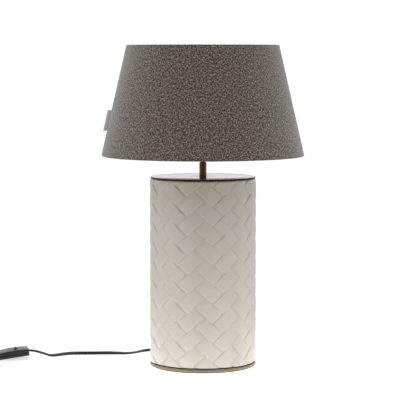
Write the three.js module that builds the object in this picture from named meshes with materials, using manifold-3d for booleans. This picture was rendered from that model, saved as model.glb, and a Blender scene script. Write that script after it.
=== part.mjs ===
// Table lamp: a glazed ceramic cylinder between two bronze plates, a tapered fabric shade on an E27
// lampholder, and a flat two-core cord with a rocker switch and a two-pin plug.
// Millimetres, +Z up. The origin is the middle of the underside, and the cord leaves the body towards +Y.
import * as THREE from "three";
import { mergeVertices } from "three/addons/utils/BufferGeometryUtils.js";
import Module from "manifold-3d";

// General
const GAP = 0.3; // left between pieces that meet
const ROUND = 64; // segments of a large round piece
const MIDDLE_ROUND = 36; // segments of the lampholder, the bulb and the coil
const SMALL_ROUND = 24; // segments of a small round piece
const TINY_ROUND = 16; // segments of a screw, a pin or a sleeve
const CORE_ROUND = 8; // segments of a core's section
const WIRE_ROUND = 6; // segments of a wire's section
const HEX_SIDES = 6;
const WELD_DISTANCE = 1e-4; // corners nearer than this are one

// Foot
const FELT_THICKNESS = 1.2;
const FELT_INSET = 3.5;
const FOOT_OVERHANG = 0.5; // the foot plate stands this far outside the ceramic
const FOOT_PLATE_THICKNESS = 4.7;
const PLATE_EDGE_ROUND = 0.9;
const GASKET_THICKNESS = 0.9;
const GASKET_INSET = 1.8;
const GASKET_WIDTH = 6;

// Ceramic body
const BODY_RADIUS = 78.5;
const BODY_WALL = 7;
const BODY_HEIGHT = 271.4;
const BODY_SHOULDER = 3.2;
const BODY_SHOULDER_STEPS = 4;

// Top plate and stem
const TOP_PLATE_INSET = 0.9;
const TOP_PLATE_THICKNESS = 2.4;
const STEM_TUBE_HEIGHT = 20.2;
const STEM_TUBE_CHAMFER = 0.6;

// Threaded rod and its nuts
const ROD_RADIUS = 4;
const ROD_WALL = 1;
const STEM_TUBE_CLEARANCE = 0.4;
const STEM_TUBE_WALL = 0.9;
const ROD_ABOVE_CAP_FLOOR = 1.3;
const ROD_FROM_FELT = 0.5;
const ROD_SLOT_WIDTH = 4.2;
const NUT_WALL = 3.2;
const FOOT_NUT_HEIGHT = 2.2;
const FOOT_WASHER_WIDTH = 4.1;
const FOOT_WASHER_THICKNESS = 0.6;
const LOCK_NUT_HEIGHT = 2.2;
const LOCK_NUT_LIFT = 1.9; // thread left bare between the stem tube and the lock nut

// Lampholder
const HOLDER_CAP_HEIGHT = 23.3;
const HOLDER_CAP_OVERHANG = 1; // the cap stands this far outside the skirt
const HOLDER_CAP_BOSS_WALL = 5;
const HOLDER_CAP_BOSS_HEIGHT = 4.3;
const HOLDER_CAP_FLOOR = 6;
const HOLDER_CAP_DOME_HEIGHT = 12;
const HOLDER_WALL = 1.8;
const HOLDER_SKIRT_WALL = 2.6;
const HOLDER_SKIRT_HEIGHT = 33.7;
const HOLDER_FLANGE_WIDTH = 3.3;
const HOLDER_FLANGE_THICKNESS = 2;
const INSERT_THICKNESS = 6;
const INSERT_LIFT = 2.7;
const SCREW_SHELL_WALL = 0.8;
const SCREW_SHELL_TO_SKIRT = 2.2;
const SCREW_SHELL_HEIGHT = 22;
const CONTACT_LENGTH = 11;
const CONTACT_WIDTH = 4;
const CONTACT_THICKNESS = 0.6;
const CONTACT_RISE = 4;
const TERMINAL_SIZE = 5;
const TERMINAL_SPREAD = 8;
const CORE_RADIUS = 0.95;

// Bulb
const BULB_CAP_RADIUS = 13.1;
const BULB_CAP_HEIGHT = 22;
const BULB_CAP_CLEARANCE = 0.5;
const BULB_FOOT_RADIUS = 5;
const BULB_FOOT_HEIGHT = 1.5;
const BULB_COLLAR_LOW_RADIUS = 15;
const BULB_COLLAR_HIGH_RADIUS = 27;
const BULB_COLLAR_HEIGHT = 26;
const BULB_GLOBE_RADIUS = 30;
const BULB_GLOBE_STEPS = 8;

// Shade
const SHADE_BOTTOM_RADIUS = 150;
const SHADE_TOP_RADIUS = 112.4;
const SHADE_HEIGHT = 163.6;
const SHADE_BOTTOM_ABOVE_STEM = 9.7;
const FABRIC_THICKNESS = 0.8;
const LINING_THICKNESS = 0.6;
const WIRE_RADIUS = 1.5;
const WIRE_INSET_FROM_RIM = 1.8;
const ARM_COUNT = 3;
const ARM_START_ANGLE = Math.PI / 6;
const FITTER_WIDTH = 7;
const FITTER_THICKNESS = 1.7;
const CLAMP_RING_WIDTH = 6.5;
const CLAMP_RING_HEIGHT = 5.4;
const LABEL_LENGTH = 30.5;
const LABEL_WIDTH = 6.4;
const LABEL_THICKNESS = 0.8;
const LABEL_HEIGHT_ON_SHADE = 52.2; // middle of the label, above the shade's lower rim

// Cord, gland and coil
const CORD_THICKNESS = 3.2;
const CORD_WIDTH = 5.2;
const CORD_RUN_RADIUS = 1.9; // the free runs twist, so they are plain round tubes between thickness and width
const GLAND_HEIGHT = 18;
const GLAND_SHANK_RADIUS = 5;
const GLAND_FLANGE_RADIUS = 7.5;
const GLAND_FLANGE_THICKNESS = 2.4;
const GLAND_INSIDE_LENGTH = 6;
const GLAND_NUT_PLAY = 1.2;
const GLAND_SLEEVE_LENGTH = 21.5;
const GLAND_SLEEVE_ROOT_RADIUS = 4.6;
const GLAND_SLEEVE_TIP_RADIUS = 3.3;
const GLAND_NUT_RADIUS = 8.5;
const GLAND_NUT_THICKNESS = 4;
const INNER_CORD_BEND = 21;
const INNER_CORD_STEPS = 40;
const LEAD_STEPS = 48;
const SHORT_RUN_STEPS = 6;
const CORD_RUN_QUARTER = 4; // pieces of each quarter of the run's section curve
const COIL_RIGHT_X = -339.1; // the outer turn's middle on its right
const COIL_FRONT_Y = 47.5; // the outer turn's middle at its front
const COIL_LIFT = 1;
const COIL_OUTER_TURN = 35.9;
const COIL_TURNS_WIDE = 3;
const COIL_TURNS_HIGH = 3;
const TIE_WIDTH = 8;
const TIE_THICKNESS = 0.7;

// Switch
const SWITCH_LENGTH = 47;
const SWITCH_WIDTH = 32.5;
const SWITCH_END_HEIGHT = 9.4;
const SWITCH_MIDDLE_HEIGHT = 11.1;
const SWITCH_WALL = 1.6;
const SWITCH_PARTING = 5.5;
const SWITCH_EDGE_ROUND = 0.8;
const SWITCH_CROWN_STEPS = 12;
const SWITCH_YAW = THREE.MathUtils.degToRad(10.5);
const SWITCH_TILT = THREE.MathUtils.degToRad(7.5);
const SWITCH_CENTRE_X = -288.5;
const SWITCH_CENTRE_Y = 57.3;
const SWITCH_FLOOR_CLEARANCE = 0.05;
const SWITCH_SCREW_INSET = 6.5; // from the end to a screw's middle
const SWITCH_SCREW_RADIUS = 1.3;
const SWITCH_SCREW_HEAD_RADIUS = 2.3;
const SWITCH_SCREW_HEAD_HEIGHT = 1.1;
const SWITCH_SCREW_LENGTH = 5;
const ROCKER_RADIUS = 7.3;
const ROCKER_WIDTH = 9.6;
const ROCKER_PIVOT_HEIGHT = 8.5;
const ROCKER_END_TOP = 3.9;
const ROCKER_MIDDLE_TOP = 2.6;
const ROCKER_BOTTOM = -2.5;
const ROCKER_THROW = THREE.MathUtils.degToRad(14);
const PIVOT_PIN_RADIUS = 0.9;
const PIVOT_CHEEK_THICKNESS = 1.5;
const PIVOT_CHEEK_LENGTH = 6;
const ROCKER_ROUND = 6; // segments of each curve of the rocker's side

// Plug
const PLUG_X = -337.5;
const PLUG_CORD_END_Y = 24;
const PLUG_SLEEVE_LENGTH = 22;
const PLUG_SLEEVE_TIP_RADIUS = 3.3;
const PLUG_SLEEVE_ROOT_RADIUS = 5.2;
const PLUG_LENGTH = 35;
const PLUG_WIDTH = 35.3;
const PLUG_NECK_WIDTH = 14;
const PLUG_SHOULDER = 17;
const PLUG_HEIGHT = 13.5;
const PLUG_LIFT = 0.2;
const PIN_RADIUS = 2;
const PIN_LENGTH = 19;
const PIN_SPACING = 18.6;

// Heights that follow from the sizes above
const FOOT_PLATE_BOTTOM = FELT_THICKNESS + GAP;
const FOOT_PLATE_TOP = FOOT_PLATE_BOTTOM + FOOT_PLATE_THICKNESS;
const GASKET_BOTTOM = FOOT_PLATE_TOP + GAP;
const BODY_BOTTOM = GASKET_BOTTOM + GASKET_THICKNESS + GAP;
const BODY_TOP = BODY_BOTTOM + BODY_HEIGHT;
const TOP_PLATE_BOTTOM = BODY_TOP + GAP;
const TOP_PLATE_TOP = TOP_PLATE_BOTTOM + TOP_PLATE_THICKNESS;
const STEM_TUBE_BOTTOM = TOP_PLATE_TOP + GAP;
const STEM_TUBE_TOP = STEM_TUBE_BOTTOM + STEM_TUBE_HEIGHT;
const LOCK_NUT_BOTTOM = STEM_TUBE_TOP + LOCK_NUT_LIFT;
const HOLDER_BOTTOM = LOCK_NUT_BOTTOM + LOCK_NUT_HEIGHT + GAP;
const HOLDER_CAP_TOP = HOLDER_BOTTOM + HOLDER_CAP_HEIGHT;
const SKIRT_BOTTOM = HOLDER_CAP_TOP + GAP;
const SKIRT_TOP = SKIRT_BOTTOM + HOLDER_SKIRT_HEIGHT;
const FITTER_BOTTOM = SKIRT_BOTTOM + HOLDER_FLANGE_THICKNESS + GAP;
const FITTER_TOP = FITTER_BOTTOM + FITTER_THICKNESS;
const CLAMP_RING_BOTTOM = FITTER_TOP + GAP;
const INSERT_BOTTOM = SKIRT_BOTTOM + INSERT_LIFT;
const INSERT_TOP = INSERT_BOTTOM + INSERT_THICKNESS;
const SCREW_SHELL_BOTTOM = INSERT_TOP + GAP;
const BULB_BOTTOM = SCREW_SHELL_BOTTOM + CONTACT_RISE + CONTACT_THICKNESS + GAP;
const BULB_CAP_BOTTOM = BULB_BOTTOM + BULB_FOOT_HEIGHT + GAP;
const BULB_COLLAR_BOTTOM = BULB_CAP_BOTTOM + BULB_CAP_HEIGHT + GAP;
const SHADE_BOTTOM = STEM_TUBE_TOP + SHADE_BOTTOM_ABOVE_STEM;
const SHADE_TOP = SHADE_BOTTOM + SHADE_HEIGHT;
const ROD_BOTTOM = FELT_THICKNESS + ROD_FROM_FELT;
const ROD_TOP = HOLDER_BOTTOM + HOLDER_CAP_FLOOR + ROD_ABOVE_CAP_FLOOR;
const FOOT_NUT_TOP = ROD_BOTTOM + FOOT_NUT_HEIGHT;
const FOOT_WASHER_TOP = FOOT_NUT_TOP + GAP + FOOT_WASHER_THICKNESS;

// Radii that follow from the sizes above
const ROD_HOLE_RADIUS = ROD_RADIUS + GAP;
const NUT_RADIUS = ROD_RADIUS + NUT_WALL;
const FOOT_WASHER_RADIUS = ROD_HOLE_RADIUS + FOOT_WASHER_WIDTH;
const STEM_TUBE_BORE_RADIUS = ROD_RADIUS + STEM_TUBE_CLEARANCE;
const STEM_TUBE_RADIUS = STEM_TUBE_BORE_RADIUS + STEM_TUBE_WALL;
const HOLDER_CAP_BOSS_RADIUS = ROD_RADIUS + HOLDER_CAP_BOSS_WALL;
const SCREW_SHELL_BORE_RADIUS = BULB_CAP_RADIUS + BULB_CAP_CLEARANCE;
const SCREW_SHELL_RADIUS = SCREW_SHELL_BORE_RADIUS + SCREW_SHELL_WALL;
const HOLDER_SKIRT_BORE_RADIUS = SCREW_SHELL_RADIUS + SCREW_SHELL_TO_SKIRT;
const HOLDER_SKIRT_RADIUS = HOLDER_SKIRT_BORE_RADIUS + HOLDER_SKIRT_WALL;
const HOLDER_FLANGE_RADIUS = HOLDER_SKIRT_RADIUS + HOLDER_FLANGE_WIDTH;
const HOLDER_CAP_RADIUS = HOLDER_SKIRT_RADIUS + HOLDER_CAP_OVERHANG;

// Places that the free cord meets
const GLAND_FLANGE_START = BODY_RADIUS + GAP;
const GLAND_TIP = GLAND_FLANGE_START + GLAND_FLANGE_THICKNESS + GLAND_SLEEVE_LENGTH;
const SWITCH_LIFT = SWITCH_LENGTH / 2 * Math.sin(SWITCH_TILT) + SWITCH_FLOOR_CLEARANCE;
const SWITCH_TURN = new THREE.Euler(0, -SWITCH_TILT, SWITCH_YAW, "ZYX");
const SWITCH_PLACE = new THREE.Vector3(SWITCH_CENTRE_X, SWITCH_CENTRE_Y, SWITCH_LIFT);
const COIL_CENTRE = new THREE.Vector3(
  COIL_RIGHT_X - COIL_OUTER_TURN, COIL_FRONT_Y + COIL_OUTER_TURN, COIL_LIFT);
const PLUG_MIDDLE = PLUG_LIFT + PLUG_HEIGHT / 2;

/** Where the cord is just outside one end of the switch. */
function besideSwitch(side) {
  const end = side * (SWITCH_LENGTH / 2 + 2 * GAP);
  return new THREE.Vector3(end, 0, SWITCH_PARTING).applyEuler(SWITCH_TURN).add(SWITCH_PLACE);
}

/** A hand-laid route whose ends are drawn to two points. Each draw fades out towards the other end. */
function laid(points, start, end) {
  const route = points.map((point) => new THREE.Vector3(...point));
  const startShift = start.clone().sub(route[0]);
  const endShift = end.clone().sub(route[route.length - 1]);
  return route.map((point, index) => {
    const share = index / (route.length - 1);
    return point.addScaledVector(startShift, 1 - share).addScaledVector(endShift, share);
  });
}

// Hand-laid routes of the free cord: body to switch, switch to coil, coil to plug
const LEAD_ROUTE = laid([
  [0, 103.1, 18], [-0.3, 110, 17.7], [-5, 119.5, 15.4], [-19, 127, 10.6], [-38, 128, 6.4],
  [-58, 125.6, 3.6], [-73, 124.2, 2.2], [-85, 121.5, 2], [-94.5, 114, 2], [-103.5, 102, 2],
  [-117, 93, 2], [-132, 92, 2], [-147, 91.4, 2.4], [-163, 90.2, 2.6], [-180, 89.4, 2.6],
  [-195, 89.2, 2.6], [-206, 87.6, 2.4], [-214, 82.8, 2.2], [-222, 76.8, 2], [-229.4, 72.5, 2],
  [-236, 69, 3.3], [-243, 66, 6.2], [-251, 64, 8.9], [-257, 62.6, 10.6], [-265.7, 61.5, 11.7],
], new THREE.Vector3(0, GLAND_TIP + GAP, GLAND_HEIGHT), besideSwitch(1));
const COIL_FRONT = new THREE.Vector3(-353, COIL_FRONT_Y, 3.6);
const TAIL_ROUTE = laid([
  [-312.7, 52.8, 5.4], [-320, 51.2, 4.9], [-328, 49.6, 4.2], [-337, 48.2, 3.7], [-345, 47.6, 3.6],
  [-353, 47.5, 3.6],
], besideSwitch(-1), COIL_FRONT);
const COIL_SIDE = new THREE.Vector3(COIL_RIGHT_X + GAP, 62, 11.9);
const END_ROUTE = laid([
  [-338.8, 62, 11.9], [-338.3, 54, 10.6], [-338, 47, 9.6], [-337.7, 38, 8.5], [-337.5, 30, 7.4],
  [-337.5, 24.3, 7],
], COIL_SIDE, new THREE.Vector3(PLUG_X, PLUG_CORD_END_Y + GAP, PLUG_MIDDLE));

// Finishes
const finish = (color, roughness, metalness) => ({ color, roughness, metalness });
const GLAZE = finish(0xd2cfc6, 0.35, 0);
const BRONZE = finish(0x3a2a1e, 0.35, 1);
const POLISHED = finish(0xd6d0cc, 0.12, 1);
const ZINC = finish(0xb9bcbd, 0.4, 1);
const BRASS = finish(0xb08d4f, 0.35, 1);
const FELT = finish(0x2b2724, 0.95, 0);
const RUBBER = finish(0x201e1c, 0.8, 0);
const BLACK_PLASTIC = finish(0x1b1b1d, 0.45, 0);
const PORCELAIN = finish(0xe8e5dc, 0.3, 0);
const TWEED = finish(0x6e655b, 0.95, 0);
const WHITE_LINING = finish(0xe9e4d8, 0.8, 0);
const WHITE_WIRE = finish(0xdedede, 0.4, 0);
const OPAL = finish(0xf4f2ec, 0.35, 0);
const RIBBON = finish(0x96939e, 0.8, 0);
const CORE_BLUE = finish(0x2b5ca8, 0.5, 0);
const CORE_BROWN = finish(0x6b432a, 0.5, 0);

const wasm = await Module();
wasm.setup();

/** Turns a closed geometry into a solid that can be joined and cut. */
function solidOf(geometry) {
  const bare = geometry.clone();
  bare.deleteAttribute("normal");
  bare.deleteAttribute("uv");
  const merged = mergeVertices(bare, WELD_DISTANCE);
  const vertProperties = new Float32Array(merged.attributes.position.array);
  const triVerts = new Uint32Array(merged.index.array);
  return new wasm.Manifold(new wasm.Mesh({ numProp: 3, vertProperties, triVerts }));
}

/** Gives a solid back as a geometry with flat faces. */
function geometryOf(solid) {
  const { vertProperties, triVerts } = solid.getMesh();
  const geometry = new THREE.BufferGeometry();
  geometry.setAttribute("position", new THREE.BufferAttribute(vertProperties, 3));
  geometry.setIndex(new THREE.BufferAttribute(triVerts, 1));
  const flat = geometry.toNonIndexed();
  flat.computeVertexNormals();
  return flat;
}

/** Turns a profile of [radius, height] points about Z. The outer side is listed going up. */
function turned(profile, segments = ROUND) {
  const points = profile.map(([radius, height]) => new THREE.Vector2(radius, height));
  return new THREE.LatheGeometry(points, segments).rotateX(Math.PI / 2);
}

/** A plain ring with a square section. */
function ring(innerRadius, outerRadius, bottom, top, segments = ROUND) {
  const profile = [
    [innerRadius, bottom], [outerRadius, bottom], [outerRadius, top], [innerRadius, top],
    [innerRadius, bottom],
  ];
  return turned(profile, segments);
}

/** A round bar that stands on a height. */
function bar(radius, bottom, height, segments = SMALL_ROUND) {
  const geometry = new THREE.CylinderGeometry(radius, radius, height, segments).rotateX(Math.PI / 2);
  return geometry.translate(0, 0, bottom + height / 2);
}

/** A six-sided nut with a round hole. */
function hexNut(holeRadius, outerRadius, bottom, top) {
  const height = top - bottom;
  const hole = bar(holeRadius, bottom - height, 3 * height);
  return geometryOf(solidOf(bar(outerRadius, bottom, height, HEX_SIDES)).subtract(solidOf(hole)));
}

/** A block given by its middle and its size. */
function block(x, y, z, width, depth, height) {
  return new THREE.BoxGeometry(width, depth, height).translate(x, y, z);
}

/** A ring of wire about Z. */
function wireRing(radius, height) {
  const section = Array.from({ length: WIRE_ROUND + 1 }, (_, index) => {
    const angle = (index % WIRE_ROUND) * (2 * Math.PI / WIRE_ROUND);
    return [radius + WIRE_RADIUS * Math.cos(angle), height + WIRE_RADIUS * Math.sin(angle)];
  });
  return turned(section);
}

/** A straight round bar between two points. */
function rodBetween(start, end, radius, segments = WIRE_ROUND) {
  const along = end.clone().sub(start);
  const geometry = new THREE.CylinderGeometry(radius, radius, along.length(), segments);
  const upright = new THREE.Vector3(0, 1, 0);
  geometry.applyQuaternion(new THREE.Quaternion().setFromUnitVectors(upright, along.clone().normalize()));
  const middle = start.clone().add(end).multiplyScalar(0.5);
  return geometry.translate(middle.x, middle.y, middle.z);
}

/** The flat cord's section with its corners cut off: eight sides. */
function cordSection(across, high) {
  const [a, b] = [across / 2, high / 2];
  const corner = Math.min(a, b) / 2;
  return new THREE.Shape([
    new THREE.Vector2(a, b - corner), new THREE.Vector2(a - corner, b),
    new THREE.Vector2(corner - a, b), new THREE.Vector2(-a, b - corner),
    new THREE.Vector2(-a, corner - b), new THREE.Vector2(corner - a, -b),
    new THREE.Vector2(a - corner, -b), new THREE.Vector2(a, corner - b),
  ]);
}

/** Carries a section along a curve. */
function swept(section, curve, steps) {
  return new THREE.ExtrudeGeometry(section, { steps, extrudePath: curve });
}

/** Adds one named piece to a group. */
function add(group, name, geometry, look) {
  const mesh = new THREE.Mesh(geometry, new THREE.MeshStandardMaterial(look));
  mesh.name = name;
  group.add(mesh);
  return mesh;
}

/** Foot: felt, plate with a recess for the nut, gasket, nut and washer. */
function makeFoot() {
  const foot = new THREE.Group();
  const plateRadius = BODY_RADIUS + FOOT_OVERHANG;
  add(foot, "felt_pad", bar(plateRadius - FELT_INSET, 0, FELT_THICKNESS, ROUND), FELT);
  const recessRadius = FOOT_WASHER_RADIUS + GAP;
  const recessTop = FOOT_WASHER_TOP + GAP;
  const rodHole = ROD_HOLE_RADIUS;
  const edge = PLATE_EDGE_ROUND;
  const plate = [
    [recessRadius, FOOT_PLATE_BOTTOM], [plateRadius - edge, FOOT_PLATE_BOTTOM],
    [plateRadius, FOOT_PLATE_BOTTOM + edge], [plateRadius, FOOT_PLATE_TOP - edge],
    [plateRadius - edge, FOOT_PLATE_TOP], [rodHole, FOOT_PLATE_TOP], [rodHole, recessTop],
    [recessRadius, recessTop], [recessRadius, FOOT_PLATE_BOTTOM],
  ];
  add(foot, "foot_plate", turned(plate), BRONZE);
  const gasketRadius = BODY_RADIUS - GASKET_INSET;
  const gasketTop = GASKET_BOTTOM + GASKET_THICKNESS;
  add(foot, "foot_gasket", ring(gasketRadius - GASKET_WIDTH, gasketRadius, GASKET_BOTTOM, gasketTop), RUBBER);
  add(foot, "foot_nut", hexNut(rodHole, NUT_RADIUS, ROD_BOTTOM, FOOT_NUT_TOP), ZINC);
  const washerBottom = FOOT_WASHER_TOP - FOOT_WASHER_THICKNESS;
  const washer = ring(rodHole, FOOT_WASHER_RADIUS, washerBottom, FOOT_WASHER_TOP, SMALL_ROUND);
  add(foot, "foot_washer", washer, ZINC);
  return foot;
}

/** Ceramic cylinder with a rounded shoulder and the gland's hole at the back. */
function makeCeramicBody() {
  const inner = BODY_RADIUS - BODY_WALL;
  const shoulder = Array.from({ length: BODY_SHOULDER_STEPS + 1 }, (_, step) => {
    const angle = step / BODY_SHOULDER_STEPS * Math.PI / 2;
    const radius = BODY_RADIUS - BODY_SHOULDER * (1 - Math.cos(angle));
    return [radius, BODY_TOP - BODY_SHOULDER * (1 - Math.sin(angle))];
  });
  const profile = [
    [inner, BODY_BOTTOM], [BODY_RADIUS, BODY_BOTTOM], ...shoulder, [inner, BODY_TOP], [inner, BODY_BOTTOM],
  ];
  const holeStart = new THREE.Vector3(0, inner - BODY_WALL, GLAND_HEIGHT);
  const holeEnd = new THREE.Vector3(0, BODY_RADIUS + BODY_WALL, GLAND_HEIGHT);
  const hole = rodBetween(holeStart, holeEnd, GLAND_SHANK_RADIUS + GAP, SMALL_ROUND);
  const body = new THREE.Group();
  add(body, "ceramic_body", geometryOf(solidOf(turned(profile)).subtract(solidOf(hole))), GLAZE);
  return body;
}

/** Top plate, stem tube, hollow threaded rod and lock nut. */
function makeStem() {
  const stem = new THREE.Group();
  const plateRadius = BODY_RADIUS - TOP_PLATE_INSET;
  const edge = PLATE_EDGE_ROUND / 2;
  const hole = ROD_HOLE_RADIUS;
  const plate = [
    [hole, TOP_PLATE_BOTTOM], [plateRadius - edge, TOP_PLATE_BOTTOM], [plateRadius, TOP_PLATE_BOTTOM + edge],
    [plateRadius, TOP_PLATE_TOP - edge], [plateRadius - edge, TOP_PLATE_TOP], [hole, TOP_PLATE_TOP],
    [hole, TOP_PLATE_BOTTOM],
  ];
  add(stem, "top_plate", turned(plate), POLISHED);
  const tube = [
    [STEM_TUBE_BORE_RADIUS, STEM_TUBE_BOTTOM], [STEM_TUBE_RADIUS, STEM_TUBE_BOTTOM],
    [STEM_TUBE_RADIUS, STEM_TUBE_TOP - STEM_TUBE_CHAMFER],
    [STEM_TUBE_RADIUS - STEM_TUBE_CHAMFER, STEM_TUBE_TOP], [STEM_TUBE_BORE_RADIUS, STEM_TUBE_TOP],
    [STEM_TUBE_BORE_RADIUS, STEM_TUBE_BOTTOM],
  ];
  add(stem, "stem_tube", turned(tube, SMALL_ROUND), BRONZE);
  const slotBottom = GLAND_HEIGHT - CORD_WIDTH / 2 - GAP;
  const slotTop = GLAND_HEIGHT + INNER_CORD_BEND + GAP;
  const slotMiddle = (slotBottom + slotTop) / 2;
  const slot = block(0, ROD_RADIUS, slotMiddle, ROD_SLOT_WIDTH, 2 * ROD_RADIUS, slotTop - slotBottom);
  const pipe = ring(ROD_RADIUS - ROD_WALL, ROD_RADIUS, ROD_BOTTOM, ROD_TOP, SMALL_ROUND);
  add(stem, "threaded_rod", geometryOf(solidOf(pipe).subtract(solidOf(slot))), ZINC);
  const lockNutTop = LOCK_NUT_BOTTOM + LOCK_NUT_HEIGHT;
  add(stem, "lock_nut", hexNut(hole, NUT_RADIUS, LOCK_NUT_BOTTOM, lockNutTop), ZINC);
  return stem;
}

/** Lampholder: cap, skirt with the shade's seat, porcelain insert, screw shell, contact, terminals. */
function makeLampholder() {
  const holder = new THREE.Group();
  const rodHole = ROD_HOLE_RADIUS;
  const domeBottom = HOLDER_BOTTOM + HOLDER_CAP_BOSS_HEIGHT;
  const domeTop = domeBottom + HOLDER_CAP_DOME_HEIGHT;
  const floorTop = HOLDER_BOTTOM + HOLDER_CAP_FLOOR;
  const cap = [
    [rodHole, HOLDER_BOTTOM], [HOLDER_CAP_BOSS_RADIUS, HOLDER_BOTTOM], [HOLDER_CAP_BOSS_RADIUS, domeBottom],
    [HOLDER_CAP_RADIUS, domeTop], [HOLDER_CAP_RADIUS, HOLDER_CAP_TOP],
    [HOLDER_CAP_RADIUS - HOLDER_WALL, HOLDER_CAP_TOP], [HOLDER_CAP_RADIUS - HOLDER_WALL, domeTop],
    [HOLDER_CAP_BOSS_RADIUS - HOLDER_WALL, floorTop], [rodHole, floorTop], [rodHole, HOLDER_BOTTOM],
  ];
  add(holder, "lampholder_cap", turned(cap, MIDDLE_ROUND), BLACK_PLASTIC);
  const skirtInner = HOLDER_SKIRT_BORE_RADIUS;
  const flangeTop = SKIRT_BOTTOM + HOLDER_FLANGE_THICKNESS;
  const skirt = [
    [skirtInner, SKIRT_BOTTOM], [HOLDER_FLANGE_RADIUS, SKIRT_BOTTOM], [HOLDER_FLANGE_RADIUS, flangeTop],
    [HOLDER_SKIRT_RADIUS, flangeTop], [HOLDER_SKIRT_RADIUS, SKIRT_TOP], [skirtInner, SKIRT_TOP],
    [skirtInner, SKIRT_BOTTOM],
  ];
  add(holder, "lampholder_skirt", turned(skirt, MIDDLE_ROUND), BLACK_PLASTIC);
  const insertRadius = skirtInner - GAP;
  const insert = bar(insertRadius, INSERT_BOTTOM, INSERT_THICKNESS, MIDDLE_ROUND);
  add(holder, "lampholder_insert", insert, PORCELAIN);
  const shellInner = SCREW_SHELL_BORE_RADIUS;
  const shellTop = SCREW_SHELL_BOTTOM + SCREW_SHELL_HEIGHT;
  const shell = ring(shellInner, SCREW_SHELL_RADIUS, SCREW_SHELL_BOTTOM, shellTop, MIDDLE_ROUND);
  add(holder, "lampholder_screw_shell", shell, BRASS);
  const tongue = new THREE.Shape();
  const [length, thick, rise] = [CONTACT_LENGTH, CONTACT_THICKNESS, CONTACT_RISE];
  tongue.moveTo(-length / 2, 0);
  tongue.lineTo(length / 2, 0);
  tongue.lineTo(length / 2, thick);
  tongue.lineTo(thick - length / 2, thick);
  tongue.lineTo(length / 4, rise);
  tongue.lineTo(length / 4, rise + thick);
  tongue.lineTo(-length / 2, thick);
  tongue.closePath();
  const contact = new THREE.ExtrudeGeometry(tongue, { depth: CONTACT_WIDTH, bevelEnabled: false, steps: 1 });
  contact.rotateX(Math.PI / 2).translate(0, CONTACT_WIDTH / 2, SCREW_SHELL_BOTTOM);
  add(holder, "lampholder_contact", contact, BRASS);
  const terminalMiddle = INSERT_BOTTOM - GAP - TERMINAL_SIZE / 2;
  for (const [side, name] of [[-1, "terminal_left"], [1, "terminal_right"]]) {
    const size = TERMINAL_SIZE;
    add(holder, name, block(side * TERMINAL_SPREAD, 0, terminalMiddle, size, size, size), BRASS);
  }
  return holder;
}

/** The cord inside the lamp: gland, its nut, the run through the body and up the rod, and the two cores. */
function makeInnerWiring() {
  const wiring = new THREE.Group();
  const inside = BODY_RADIUS - BODY_WALL - GLAND_INSIDE_LENGTH;
  const flangeEnd = GLAND_FLANGE_START + GLAND_FLANGE_THICKNESS;
  const gland = [
    [0, inside], [GLAND_SHANK_RADIUS, inside], [GLAND_SHANK_RADIUS, GLAND_FLANGE_START],
    [GLAND_FLANGE_RADIUS, GLAND_FLANGE_START], [GLAND_FLANGE_RADIUS, flangeEnd],
    [GLAND_SLEEVE_ROOT_RADIUS, flangeEnd], [GLAND_SLEEVE_TIP_RADIUS, GLAND_TIP], [0, GLAND_TIP],
  ];
  const alongY = (geometry) => geometry.rotateX(-Math.PI / 2).translate(0, 0, GLAND_HEIGHT);
  add(wiring, "cord_gland", alongY(turned(gland, SMALL_ROUND)), RUBBER);
  const nutEnd = inside + GLAND_INSIDE_LENGTH - GLAND_NUT_PLAY;
  const nut = hexNut(GLAND_SHANK_RADIUS + GAP, GLAND_NUT_RADIUS, nutEnd - GLAND_NUT_THICKNESS, nutEnd);
  add(wiring, "gland_nut", alongY(nut), BLACK_PLASTIC);
  const bend = INNER_CORD_BEND;
  const top = ROD_TOP + CORD_THICKNESS;
  const towardRod = new THREE.LineCurve3(
    new THREE.Vector3(0, inside - GAP, GLAND_HEIGHT), new THREE.Vector3(0, bend, GLAND_HEIGHT));
  const turnUp = new THREE.QuadraticBezierCurve3(
    towardRod.v2.clone(), new THREE.Vector3(0, 0, GLAND_HEIGHT),
    new THREE.Vector3(0, 0, GLAND_HEIGHT + bend));
  const upRod = new THREE.LineCurve3(turnUp.v2.clone(), new THREE.Vector3(0, 0, top));
  const route = new THREE.CurvePath();
  route.curves.push(towardRod, turnUp, upRod);
  const section = cordSection(CORD_WIDTH, CORD_THICKNESS);
  add(wiring, "inner_cord", swept(section, route, INNER_CORD_STEPS), BLACK_PLASTIC);
  const terminalBottom = INSERT_BOTTOM - GAP - TERMINAL_SIZE;
  for (const [side, name, look] of [[-1, "core_blue", CORE_BLUE], [1, "core_brown", CORE_BROWN]]) {
    const start = new THREE.Vector3(side * (CORE_RADIUS + GAP), 0, top + CORE_RADIUS);
    const end = new THREE.Vector3(side * TERMINAL_SPREAD, 0, terminalBottom - CORE_RADIUS);
    add(wiring, name, rodBetween(start, end, CORE_RADIUS, CORE_ROUND), look);
  }
  return wiring;
}

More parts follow.
